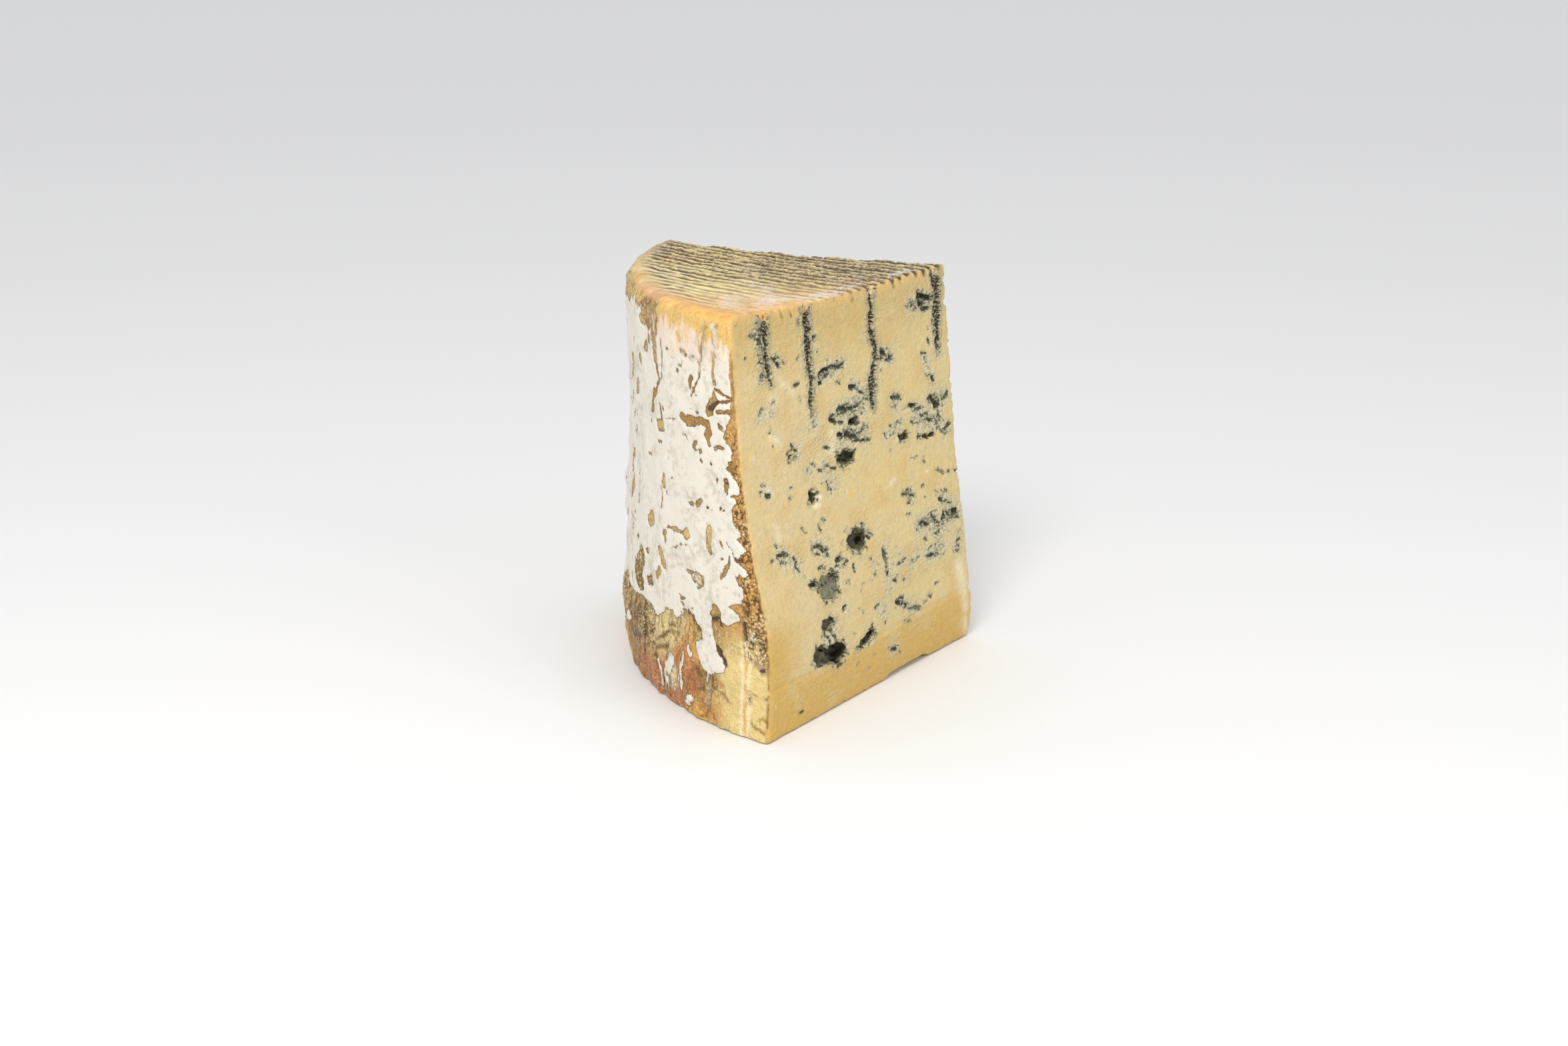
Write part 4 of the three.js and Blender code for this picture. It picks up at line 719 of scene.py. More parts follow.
def rind_maps():
    """Bloom depth, missing-bloom depth, dark strokes, and the ground's colour."""
    bloom = Sheet(RIND_LOW, RIND_HIGH, FAR_OFF, BLOOM_STEP)
    edge = np.array(BLOOM_EDGE, float).reshape(-1, 2)
    outline = np.concatenate([edge, [(190, 28), (190, 170), (1, 170)]])
    near, inside = line_distances(*np.meshgrid(*bloom.axes, indexing="ij"), outline, closed=True)
    bloom.value[:] = np.clip(np.where(inside, near, -near), FAR_OFF, -FAR_OFF)
    for radius, *points in BLOOM_PATCHES:
        bloom.draw(points, radius)
    marks = Sheet(RIND_LOW, RIND_HIGH, FAR_OFF)
    dark = Sheet(RIND_LOW, RIND_HIGH, FAR_OFF)
    mark_rows = colour_rows(RIND_MARKS) + hidden_marks(HIDDEN_MARKS)
    for colour, radius, *points in mark_rows:
        marks.draw(points, radius - (0.2 if colour == "dark" else 0))
    total = spread_colours(RIND_GROUND, marks.axes)
    weights = np.full(marks.value.shape, 1.0)
    for colour, radius, *points in mark_rows + colour_rows(GROUND_MARKS):
        if colour == "dark":
            dark.draw(points, radius - 0.15)
        window, near = marks.distance(points, radius + 2.5)
        fade = np.clip(1.3 - near / (radius + 1.2), 0.2, 1)
        weight = 12 * np.clip(0.5 + (radius + 0.2 - near) / 0.8, 0, 1) * fade
        weights[window] += weight
        total[window] += weight[..., None] * linear(colour)
    return bloom, marks, dark, total / weights[..., None]


def spread_colours(table, axes):
    """Colours that spread from their places and fade into each other."""
    u, v = np.meshgrid(*axes, indexing="ij")
    total = np.zeros((*u.shape, 3))
    weights = np.full(u.shape, 1e-9)
    for colour, reach, cu, cv in colour_rows(table):
        distance = np.hypot(u - cu, v - cv) / reach
        weight = bell(distance, 1) + 1e-4 / (1 + distance ** 2)
        total += weight[..., None] * linear(colour)
        weights += weight
    return total / weights[..., None]


def read_colour(grid, axes, u, v):
    """The colour of a grid at each place."""
    places = []
    for axis, value in zip(axes, (u, v)):
        at = ((value - axis[0]) / (axis[1] - axis[0])).round().astype(np.intp)
        places.append(np.clip(at, 0, len(axis) - 1))
    return grid[tuple(places)]


BACK_VEINS, BACK_HALOS = scattered_veins(BACK_CLUSTERS)
CUT_MAPS = [cut_maps(FRONT_VEINS, FRONT_HALOS, FRONT_HOLES, FRONT_PALE, FRONT_CHIPS),
            cut_maps(BACK_VEINS, BACK_HALOS, BACK_HOLES, [], [])]
RIND_BLOOM, RIND_BARE, RIND_DARK, RIND_COLOUR = rind_maps()
WISPS = Sheet(TOP_LOW, TOP_HIGH, 0.0, TOP_STEP)
for strength, radius, *points in TOP_WISPS:
    WISPS.glow(points, radius, strength)
TOP_COLOUR = spread_colours(TOP_GROUND, WISPS.axes)


# ---- Depths of the drawn shapes ----
def bloom_depth(place, points, shift):
    """How far inside the white bloom each place of the rind is, in mm."""
    along, height = place.rind_along + shift[0], place.z + shift[1]
    ragged = 3.2 * noise(points * (1, 1, 0.12), 1.7, 74) + 2.5 * noise(points, 9, 75)
    upper = 0.5 * (BLOOM_TOP - 2.5 * smoothstep(16, 3, along) - place.z + ragged)
    return np.minimum(np.minimum(RIND_BLOOM.read(along, height), -RIND_BARE.read(along, height)), upper)


def vein_depth(side, along, z, points):
    """How deep in a mouldy crevice each place of a cut is, in mm, and how mouldy it is all round."""
    shift = wandering(points, 40 + 10 * side)
    veins, halos = CUT_MAPS[side][:2]
    vein = veins.read(along + shift[0], z + shift[1])
    halo = halos.read(along + 0.6 * shift[0], z + 0.6 * shift[1])
    crack = 1 - 2.3 * np.abs(noise(points * (1, 1, 1.5), 2.8, 45) + 0.3 * noise(points, 1.3, 46))
    return np.maximum(vein, 1.3 * (crack - 1.95 + 1.5 * halo)), halo


def needle_depth(side, along, z, points):
    """How far inside a needle's channel each place of a cut is, in mm."""
    deepest = np.full(len(points), FAR_OFF)
    ragged = 0.72 + 0.35 * noise(points, 1.8, 61) + 0.3 * noise(points, 4, 62)
    swayed = along + 0.35 * noise(points, 2.6, 63)
    for row in (FRONT_NEEDLES, BACK_NEEDLES)[side]:
        height, middle, half = np.array(row).reshape(-1, 3)[::-1].T
        off = np.abs(swayed - np.interp(z, height, middle))
        inside = ragged * np.interp(z, height, half) - off
        deepest = np.maximum(deepest, np.where(z < height[0], z - height[0] - off, inside))
    return deepest


# ---- Relief ----
RELIEF_REACH = 5         # a face has relief this far under it


def ridge_turn(place, points):
    """How many ridges each place of the top is along, wandering a little, and how strong they are there."""
    across = -place.x * math.sin(RIDGE_ANGLE) - place.y * math.cos(RIDGE_ANGLE) + RIDGE_PHASE
    turn = (across + 0.6 * noise(points * (1, 0.5, 1), 9, 31) + 0.2 * noise(points, 3, 33)) / RIDGE_PITCH
    strength = np.clip(1.1 + 0.9 * noise(points * (1, 0.35, 1), 8, 32), 0.25, 2)
    return turn, strength * smoothstep(4, RIDGES_FADE, place.rim_in)


def crumbliness(place):
    """How crumbly the top is: smooth ridges near the rind, crumbs towards the tip."""
    return smoothstep(-88, -46, place.x + 0.25 * (place.y - 40))


def valley(turn, reach):
    """1 in the valleys between the ridges, 0 on their crests."""
    return bell(np.abs(turn - np.floor(turn) - 0.5) * RIDGE_PITCH, reach)


def notches(turn, points):
    """Where the ridges' valleys notch the upper edge of a cut."""
    return valley(turn, 0.8) * smoothstep(-0.3, 0.5, noise(points, 9, 64))


def crease_height(points):
    """The height of the crease along the foot of the cuts."""
    return LOW_CREASE + 2 * noise(points, 30, 60)


def cut_relief(place, points, side):
    """How far a cut is carved in."""
    along, z = place.cut(side)[1], place.z
    vein, halo = vein_depth(side, along, z, points)
    crumb = noise(points, 1.7, 51 + side)
    carve = smoothstep(-0.6, 0.8, vein + 0.5 * crumb) * (1.1 + 0.6 * np.clip(vein, 0, 1))
    carve += halo * 0.7 * (noise(points, 2.4, 53 + side) + 0.6 * crumb)
    carve -= 0.5 * CUT_MAPS[side][2].read(along, z)
    needle = needle_depth(side, along, z, points)
    rungs = noise(points * (.5, .5, 1), 1.5, 59)
    carve += 1.5 * smoothstep(-0.3, 0.6, needle) - smoothstep(0.5, 1.4, needle) * (0.6 + 1.1 * rungs)
    carve -= 0.3 * smoothstep(-2.2, -0.4, needle) * smoothstep(0.4, -0.4, needle)
    over = z - crease_height(points)
    carve += 0.5 * bell(over, 0.8) - 0.35 * smoothstep(1, -4, over)
    carve += 0.7 * notches(ridge_turn(place, points)[0], points) * smoothstep(3, 1.2, place.top)
    carve += 0.28 * noise(points, 13, 55 + side) + 0.12 * noise(points * (.6, .6, 1.4), 3.2, 57 + side)
    return carve + 0.07 * crumb


def rind_relief(place, points):
    """How proud the rind is: bloom, crust and crags."""
    shift = wandering(points, 70)
    along, height = place.rind_along + shift[0], place.z + shift[1]
    bloom = bloom_depth(place, points, shift)
    rough = 1 - smoothstep(-1, 1, bloom)
    skin = 0.45 * smoothstep(-0.5, 0.6, bloom) - 0.5 * smoothstep(-0.3, 0.5, RIND_DARK.read(along, height))
    skin += 0.7 * noise(points, 9, 71) + (0.10 + 0.35 * rough) * noise(points, 2.6, 72)
    hanging = smoothstep(50, 38, height) * smoothstep(18, 26, along)
    skin += rough * (0.3 * noise(points, 1.4, 73) + 1.1 * hanging * noise(points * (1, 1, 0.4), 4.5, 77))
    for centre, z, width, tallness, proud in CRAGS:
        reach = np.hypot((place.rind_along - centre) / width, (place.z - z) / tallness)
        skin += proud * bell(reach, 0.6) * (0.7 + 0.7 * noise(points, 3, int(centre)))
    return skin - 0.3


def top_relief(place, points):
    """How proud the top is: ridges, and crumbs towards the tip."""
    turn, strength = ridge_turn(place, points)
    strength = strength * (1 - 0.7 * bell(place.x + 98, 36) * bell(place.y - 20, 26))
    lift = 0.45 * noise(points, 12, 81) + 0.25 * noise(points, 3.4, 82)
    lift += RIDGE_HEIGHT * 0.45 * strength * (1 - 2 * valley(turn, 1.3))
    inner = smoothstep(5, 20, place.rim_in)
    lift += 0.3 * inner * noise(points * (1, .12, 1), 1.5, 85)
    crumbs = 0.4 * noise(points, 2.2, 83) + 0.3 * noise(points, 1.3, 84)
    return lift + inner * (0.12 + 0.88 * crumbliness(place)) * crumbs - 0.15


def refined(place, points):
    """The depths with all the small relief of each face."""
    reliefs = (lambda *sub: -cut_relief(*sub, 0), lambda *sub: -cut_relief(*sub, 1), rind_relief, top_relief)
    depths = []
    for depth, relief in zip(place.faces(), reliefs):
        depth = np.array(depth, np.float32)
        at = depth < RELIEF_REACH
        depth[at] += relief(place.part(at), points[at])
        depths.append(depth)
    undercut = 1.7 * smoothstep(60, 54, place.front_along) * smoothstep(27, 33, place.front_along)
    undercut *= smoothstep(6, 1, place.front)
    return *depths, place.z - undercut * (1 + 0.3 * noise(points, 8, 91))


# ---- The solid ----
BAND = 3.2               # only places this near the plain surface get relief
MARGIN = 4
LOW = np.array((-134.5, -3, 0)) - MARGIN
HIGH = np.array((1, 129, 148)) + MARGIN
GRID_REACH = 3.0         # depths are cut off here in the grid that the mesh is made from


def cut_point(side, along, z):
    """A point of a cut."""
    azimuth = WEDGE_ANGLE if side else float(corner_azimuth(z))
    return np.array((-TIP_SLIP * z / HEIGHT - along * math.cos(azimuth),
                     float(tip_lean(z)) + along * math.sin(azimuth), z))


def block_around(axes, centre, reach):
    """The part of the grid near a point."""
    ends = [np.searchsorted(axis, (c - reach, c + reach)) for axis, c in zip(axes, centre)]
    return tuple(slice(int(start), int(stop)) for start, stop in ends)


def carve_hole(solid, axes, side, row, seed):
    """Takes one hole out of the solid."""
    along, z, width, height, depth, tilt = row
    block = block_around(axes, cut_point(side, along, z), 0.8 * max(width, height, 2 * depth) + 3)
    grid = np.meshgrid(*(axis[part] for axis, part in zip(axes, block)), indexing="ij")
    points = np.stack([g.ravel() for g in grid], 1)
    place = Depths(*points.T)
    under, run = place.cut(side)
    turn = math.radians(tilt)
    du, dv = run - along, place.z - z
    u = du * math.cos(turn) - dv * math.sin(turn) + 0.4 * under
    v = du * math.sin(turn) + dv * math.cos(turn) + 0.1 * under
    half = np.array((0.55 * width, 0.55 * height, 0.72 * depth))
    size = np.sqrt((u / half[0]) ** 2 + (v / half[1]) ** 2 + ((under - 0.3 * depth) / half[2]) ** 2)
    lumps = 0.34 * noise(points, 0.45 * max(width, height) + 1, seed) + 0.22 * noise(points, 2.1, seed + 1)
    outside = (size + lumps - 1) * 0.8 * float(np.sort(half)[1])
    solid[block] = np.minimum(solid[block], outside.reshape(grid[0].shape).astype(np.float32))


def cheese_surface():
    """Vertices and faces of the whole wedge, in the wheel's frame."""
    axes = [np.arange(LOW[i], HIGH[i], VOXEL) for i in range(3)]
    place = Depths(axes[0][:, None, None], axes[1][None, :, None], axes[2][None, None, :])
    solid = joined(*place.faces(), place.shoulder, place.z).astype(np.float32)
    band = np.nonzero(np.abs(solid) < BAND)
    points = np.stack([axis[at] for axis, at in zip(axes, band)], 1)
    place = Depths(*points.T)
    depth = joined(*refined(place, points), place.shoulder, place.z)
    edge = 1 - smoothstep(0.5, 3, np.sort(np.stack(place.faces()), 0)[1])
    depth -= edge * np.maximum(0, 0.75 * noise(points, 3.2, 95) + 0.35 * noise(points, 1.5, 96) - 0.05)
    solid[band] = depth
    for side, holes in enumerate((FRONT_HOLES, BACK_HOLES)):
        for i, row in enumerate(holes):
            carve_hole(solid, axes, side, row, 100 + 40 * side + i)
    grid = openvdb.FloatGrid(GRID_REACH)
    grid.copyFromArray(np.clip(-solid, -GRID_REACH, GRID_REACH), ijk=(0, 0, 0), tolerance=0)
    vertices, quads = grid.convertToQuads(0.0)
    return vertices * VOXEL + LOW, quads[:, ::-1]


def mesh_from(name, vertices, quads):
    """A mesh of four-sided faces."""
    mesh = bpy.data.meshes.new(name)
    mesh.vertices.add(len(vertices))
    mesh.vertices.foreach_set("co", np.asarray(vertices, np.float32).ravel())
    mesh.loops.add(quads.size)
    mesh.loops.foreach_set("vertex_index", quads.astype(np.int32).ravel())
    mesh.polygons.add(len(quads))
    mesh.polygons.foreach_set("loop_start", np.arange(0, quads.size, 4, dtype=np.int32))
    mesh.update(calc_edges=True)
    return mesh


def keep_largest(vertices, quads):
    """Leaves out the crumbs that the carving has cut free."""
    label = np.arange(len(vertices))
    while True:
        before = label.copy()
        np.minimum.at(label, quads.ravel(), np.repeat(label[quads].min(1), 4))
        label = label[label]
        if (label == before).all():
            break
    kept = label == np.bincount(label).argmax()
    number = np.cumsum(kept) - 1
    return vertices[kept], number[quads[kept[quads[:, 0]]]]


def thinned(mesh, triangles):
    """The mesh with fewer triangles where it is smooth."""
    holder = bpy.data.objects.new("holder", mesh)
    bpy.context.scene.collection.objects.link(holder)
    modifier = holder.modifiers.new("thin", "DECIMATE")
    modifier.ratio = min(1, triangles / (2 * len(mesh.polygons)))
    modifier.use_collapse_triangulate = True
    graph = bpy.context.evaluated_depsgraph_get()
    result = bpy.data.meshes.new_from_object(holder.evaluated_get(graph))
    bpy.data.objects.remove(holder)
    return result


# ---- What the material reads at each vertex ----
def tinted(colour, *tints):
    """A colour with palette colours over it, each by its share."""
    for name, share in tints:
        colour = blend(colour, linear(name), np.clip(share, 0, 1)[:, None])
    return colour


def cut_looks(place, points, slow, streaks):
    """The cuts' colour, depth in the crevices, mouldiness and depth in the needle channels."""
    side = place.back < place.front
    z, along = place.z, np.where(side, place.back_along, place.front_along)
    low = crease_height(points) - z
    foot = 0.9 * smoothstep(-1.5, 2, low + noise(points * (.3, .3, 1), 4, 302))
    (vein, halo), (back_vein, back_halo) = (vein_depth(i, along, z, points) for i in (0, 1))
    vein, halo = np.where(side, back_vein, vein), np.where(side, back_halo, halo)
    needle = np.where(side, *(needle_depth(i, along, z, points) for i in (1, 0)))
    halo = np.maximum(halo, 0.75 * smoothstep(-4, 0, needle))
    haze = np.where(side, *(CUT_MAPS[i][4].read(along, z) for i in (1, 0)))
    shift = wandering(points, 40)
    pale, chip = (CUT_MAPS[0][i].read(along + 0.6 * shift[0], z + 0.6 * shift[1]) * ~side for i in (2, 3))
    notch = smoothstep(0.3, 0.8, notches(ridge_turn(place, points)[0], points))
    rim = smoothstep(1.0, 0.3, place.rind + 0.6 * noise(points, 3, 305))
    skin_wave = np.minimum(place.rind, place.top) + 1.2 * noise(points, 7, 304)
    colour = tinted(
        np.tile(linear("paste"), (len(points), 1)),
        ("paste left", smoothstep(60, 100, along + 8 * slow)),
        ("paste top", smoothstep(112, 138, z + 10 * slow)),
        ("paste low", foot + 0.35 * smoothstep(3, 8, low)),
        ("paste corner", smoothstep(108, 126, along + 4 * slow) * smoothstep(52, 30, z)),
        ("halo", 0.85 * np.maximum(halo, haze) * (0.75 + 0.8 * streaks)),
        ("pale", pale * (0.9 + 0.3 * streaks)),
        ("chip", chip),
        ("gold", 0.4 * smoothstep(4, 1, skin_wave)),
        ("crack", 0.9 * smoothstep(4, 3, place.top) * notch),
        ("rim", 0.85 * rim * smoothstep(138, 130, z)))
    return colour, vein, halo, needle


def crustiness(along, height):
    """How much crust there is at places of the rind."""
    above_foot = np.maximum(smoothstep(26, 34, height), smoothstep(20, 26, along))
    crust = 0.25 * smoothstep(140, 130, height) * above_foot
    for strength, *bounds in CRUST_PATCHES:
        for i, value in enumerate((along, height, height)):
            strength = strength * smoothstep(bounds[2 * i], bounds[2 * i + 1], value)
        crust = np.maximum(crust, strength)
    return crust


def painted(points):
    """Colour and marks at points of the surface."""
    place = Depths(*points.T)
    skin_depth = np.minimum(place.rind, place.top)
    cut_depth = np.minimum(place.front, place.back)
    slow = noise(points, 26, 301)
    streaks = noise(points * (.5, .5, 1.6), 3.5, 303)
    cut_colour, vein, halo, needle = cut_looks(place, points, slow, streaks)

    shift = wandering(points, 70)
    along, height = place.rind_along + shift[0], place.z + shift[1]
    on_top = smoothstep(-2.5, 1.5, place.rind - place.top + 2 * noise(points, 6, 307))
    on_foot = (place.foot < 0.8) & (np.minimum(skin_depth, cut_depth) > 1)
    skin = np.where(on_foot, 1, np.minimum(cut_depth - 0.5, 3 - skin_depth))
    is_skin = smoothstep(-0.3, 0.3, skin)
    on_rind = is_skin * (1 - on_top)

    top_colour = read_colour(TOP_COLOUR, WISPS.axes, place.x + 4 * slow, place.y + 4 * streaks)
    top_colour = top_colour * np.clip(1 + 0.35 * noise(points, 3.1, 306), 0.2, 1.5)[:, None]
    skin_colour = blend(read_colour(RIND_COLOUR, RIND_BARE.axes, along, height), top_colour, on_top[:, None])
    skin_colour[on_foot] = linear("straw") * (1 + 0.15 * noise(points[on_foot], 8, 308))[:, None]
    line = smoothstep(1.1, 0.5, place.rind_along + 0.5 * noise(points, 2.6, 309))
    line = line * smoothstep(139, 135, height)
    skin_colour = tinted(skin_colour, ("rim", 0.85 * line * smoothstep(24, 34, height)))

    off_rind = (on_top > 0.5) | on_foot
    bloom = np.where(off_rind | (line > 0.3), FAR_OFF, bloom_depth(place, points, shift))
    bloom = np.where(skin > 0, np.minimum(bloom, 3 * skin), FAR_OFF)
    dark = np.where(off_rind, FAR_OFF, RIND_DARK.read(along, height))
    crust = crustiness(along, height) * on_rind
    wet = smoothstep(50, 38, height) * on_rind * (place.foot > 0.8)
    crumbly = crumbliness(place)
    rough_top = 0.1 + (0.15 + 0.45 * crumbly) * smoothstep(8, 26, place.rim_in)
    rough_skin = blend(0.35 + 0.8 * crust * (bloom < 0), rough_top, on_top)
    turn, ridges = ridge_turn(place, points)
    smooth = bell(place.x + 104, 40) * bell(place.y - 22, 30)
    return blend(cut_colour, skin_colour, is_skin[:, None]), {
        "skin": is_skin,
        "vein": np.where(skin > 0, dark, vein),
        "halo": halo * (1 - is_skin),
        "needle": np.where(skin > 0, FAR_OFF, needle),
        "pit": np.maximum(0, joined(*place.faces(), place.shoulder, place.z)),
        "grain": blend(0.08 + 0.5 * halo, rough_skin, is_skin),
        "slow": noise(points, 10, 311),
        "turn": turn,
        "comb": np.clip(1.5 * ridges * on_top * is_skin, 0, 1) * (place.foot > 2) * (1 - 0.95 * smooth),
        "wisp": WISPS.read(place.x, place.y) * on_top * is_skin,
        "crumbly": is_skin * on_top * crumbly * smoothstep(3, 9, place.rim_in),
        "bloom": bloom,
        "blush": smoothstep(120, 138, place.z + 3 * noise(points, 8, 76)) * smoothstep(70, 40, along),
        "crust": crust,
        "wet": wet,
        "drips": wet * smoothstep(18, 26, along),
    }


# ---- The material ----
def rgba(name):
    return (*linear(name), 1)


class Nodes:
    """Short calls for building a node tree. A kept value can be given by its name."""

    def __init__(self, tree):
        self.tree, self.kept = tree, {}
        tree.nodes.clear()

    def keep(self, **values):
        self.kept.update(values)

    def plug(self, socket, value):
        value = self.kept[value] if isinstance(value, str) else value
        if isinstance(value, bpy.types.NodeSocket):
            self.tree.links.new(value, socket)
        else:
            socket.default_value = value

    def add(self, kind, settings=None, **sockets):
        node = self.tree.nodes.new(kind)
        for name, value in (settings or {}).items():
            setattr(node, name, value)
        for name, value in sockets.items():
            self.plug(node.inputs[name.replace("_", " ")], value)
        return node

    def math(self, operation, *values, kind="ShaderNodeMath"):
        node = self.add(kind, {"operation": operation})
        for socket, value in zip(node.inputs, values):
            self.plug(socket, value)
        return node.outputs[0]

    def times(self, first, *factors):
        for factor in factors:
            first = self.math("MULTIPLY", first, factor)
        return first

    def total(self, start=0.0, **gains):
        """A start plus each named value times its gain."""
        for name, gain in gains.items():
            start = self.math("MULTIPLY_ADD", name, gain, start)
        return start

    def between(self, value, low, high):
        """0 below low, 1 above high, smooth between."""
        node = self.add("ShaderNodeMapRange", {"interpolation_type": "SMOOTHSTEP"}, Value=value)
        node.inputs["From Min"].default_value, node.inputs["From Max"].default_value = low, high
        return node.outputs["Result"]

    def where(self, low, high, **gains):
        """Where a sum of named values goes from low to high."""
        return self.between(self.total(**gains), low, high)

    def mix(self, share, first, second, kind="MIX"):
        node = self.add("ShaderNodeMix", {"data_type": "RGBA", "blend_type": kind})
        for i, value in ((0, share), (6, first), (7, second)):
            self.plug(node.inputs[i], value)
        return node.outputs[2]

    def tint(self, base, name, *shares):
        """A colour with a palette colour over it, by the product of the shares."""
        return self.mix(self.times(*shares), base, rgba(name))

    def field(self, name, output="Fac"):
        """What the mesh says at each vertex."""
        return self.add("ShaderNodeAttribute", {"attribute_name": name}).outputs[output]

    def noise(self, place, per_mm, detail=2.0, rough=0.5):
        """Noise about 0, with so many lumps per millimetre: one number, or one for each axis."""
        if isinstance(per_mm, tuple):
            place, per_mm = self.math("MULTIPLY", place, per_mm, kind="ShaderNodeVectorMath"), 1.0
        node = self.add("ShaderNodeTexNoise", Vector=place, Scale=per_mm, Detail=detail, Roughness=rough)
        return self.math("SUBTRACT", node.outputs["Fac"], 0.5)


def keep_noises(n):
    """Keeps the noises that the parts of the material share."""
    metres = n.add("ShaderNodeTexCoord").outputs["Object"]
    place = n.math("MULTIPLY", metres, (1000, 1000, 1000), kind="ShaderNodeVectorMath")
    swirl = n.add("ShaderNodeTexNoise", Vector=place, Scale=0.9, Detail=1.0).outputs["Color"]
    warped = n.math("MULTIPLY_ADD", swirl, (1.6, 1.6, 1.6), place, kind="ShaderNodeVectorMath")
    crumbs = n.add("ShaderNodeTexVoronoi", Vector=warped, Scale=0.8).outputs["Distance"]
    n.keep(
        height=n.add("ShaderNodeSeparateXYZ", Vector=place).outputs[2],
        middle=n.noise(place, 0.45),
        fine=n.noise(place, 1.1),
        tiny=n.noise(place, 2.6),
        lying=n.noise(place, (0.5, 0.5, 1.5)),
        combed=n.noise(place, (1.3, 0.07, 0.8), 4, 0.6),
        falling=n.noise(place, (1.2, 1.2, 0.15), 3),
        sagging=n.noise(warped, (0.24, 0.24, 0.07), 1),
        gap=n.math("SUBTRACT", crumbs, 0.5))
    n.keep(drip=n.math("ABSOLUTE", n.total(sagging=1, middle=.1)))


def ground_colour(n):
    """Paste, top and crust, without bloom and mould."""
    n.keep(
        bare=n.total(1, skin=-1),
        grainy=n.times("fine", "grain"),
        ridged=n.times("combed", "comb"),
        across=n.math("ABSOLUTE", n.math("SUBTRACT", n.math("FRACT", "turn"), .45)),
        moist=n.math("MAXIMUM", "crust", n.times("wet", .8)))
    # Where the valleys between the top's ridges get darker brown and painted shade
    n.keep(furrow=n.where(.24, .1, across=1, combed=-.12, fine=.06),
           # Painted glints: bright specks on the crusty and wet parts of the rind
           glint=n.times(n.where(-.28, -.42, gap=1, tiny=.5), "moist"))
    speckle = n.total(1, middle=.3, tiny=.12, slow=.14, grainy=1.3, ridged=1.5)
    colour = n.mix(1.0, n.field("ground", "Color"), speckle, "MULTIPLY")
    for name, *shares in (
            ("deep", n.where(-.1, .6, slow=1, middle=.8, lying=.4), "bare", .45),
            ("cream paste", n.where(-.1, -.6, slow=1, lying=1.4, fine=.8), "bare", .3),
            # Ridges of the top: a painted highlight on their crests, darker brown and painted shade in the
            # furrows between them, in fine streaks and between its crumbs; then pale crumbs, and its wisps of
            # white
            ("lit crest", n.where(.22, .4, across=1, combed=.1, fine=.06), "comb", .62),
            ("furrow", "furrow", "comb", .9),
            ("furrow", n.where(.13, .27, combed=1, fine=.3, slow=.1), "comb", .4),
            ("furrow", n.where(.02, .25, gap=1, fine=1.2, middle=.5), "crumbly", .55),
            ("cream", n.where(-.2, -.38, gap=1, fine=.8), "crumbly", .6),
            ("wisp", n.where(.12, .5, combed=1, middle=.7, fine=.5, wisp=.45), "wisp", .9),
            # Crust of the rind: bark, curds, cracks and drips, and painted glints, bright specks on the
            # crusty and wet parts
            ("bark", n.where(-.04, .2, fine=1, middle=.8, gap=.6), "crust", .8),
            ("cream", n.where(-.12, -.36, gap=1, middle=1, slow=.3), "crust", .7),
            ("crack", n.where(.12, .3, gap=1, middle=.8, tiny=.4), "crust", .85),
            ("umber", n.where(.04, 0, drip=1, fine=.05), "drips", .65),
            ("glint", "glint", .8)):
        colour = n.tint(colour, name, *shares)
    return colour


def with_bloom(n, ground):
    """White bloom over the rind, with a darker line where it ends."""
    white = n.mix(n.where(-.35, .05, middle=1, slow=.35, tiny=.4), rgba("shade"), rgba("white"))
    white = n.tint(white, "blush", n.where(-.05, .3, falling=1, middle=.7, blush=.2), "blush", .6)
    white = n.tint(white, "gold", n.where(.1, .32, falling=1, fine=.5, slow=.3), "blush", .7)
    n.keep(hanging=n.times("falling", "drips"), blushing=n.times("falling", "blush"))
    ragged = n.total(bloom=1, fine=.8, middle=.9, tiny=.3, hanging=2.5, blushing=5)
    edge = n.math("DIVIDE", ragged, n.total(1, blush=4))
    n.keep(cover=n.between(edge, -.25, .2))
    ground = n.tint(ground, "dark line", n.between(edge, -.65, -.15), n.total(.75, blush=-.7))
    return n.mix("cover", ground, white)


def with_mould(n, colour):
    """Crumbs of mould in the hollows and round the crevices, black between them; deeper in the holes and
    crevices, mould colour with painted shade.
    """
    n.keep(level=n.times("halo", n.total(.9, gap=1.5, lying=2, tiny=1, middle=1.2)),
           jagged=n.times(n.total(gap=1.4, lying=1.4, tiny=1.2), n.total(1, skin=-.6)))
    n.keep(depth=n.total(vein=1, jagged=1))
    colour = n.tint(colour, "grey mould", n.where(.25, .75, level=1), .5)
    colour = n.tint(colour, "mould", n.where(.72, 1, level=1), .85)
    wall = n.mix(n.where(-.1, .3, fine=1, tiny=.8, middle=.6), rgba("wall"), rgba("pale wall"))
    # The holes darken with depth: the walls' grey-green mould colour with painted shade, then near-black
    # painted shade.
    colour = n.mix(n.times(n.where(1.1, 1.9, pit=1, lying=2, tiny=1), .9), colour, wall)
    colour = n.tint(colour, "black mould and shade", n.where(3.2, 6.4, pit=1, middle=2), .92)
    lipped = n.times(n.where(.15, .5, halo=1, skin=-1), n.where(-1.5, -3.5, needle=1))
    colour = n.tint(colour, "lip", n.where(-1.9, -1.1, depth=1), lipped, .5)
    colour = n.tint(colour, "grey mould", n.where(-1, -.2, depth=1), n.total(.6, skin=-.6))
    # Deeper in a crevice the mould goes black: mould colour and painted shade.
    crevice = n.mix(n.where(0, .6, depth=1), rgba("mould"), rgba("black mould and shade"))
    crevice = n.tint(crevice, "crack", "skin")
    return n.mix(n.times(n.where(-.3, .15, depth=1), .92), colour, crevice)


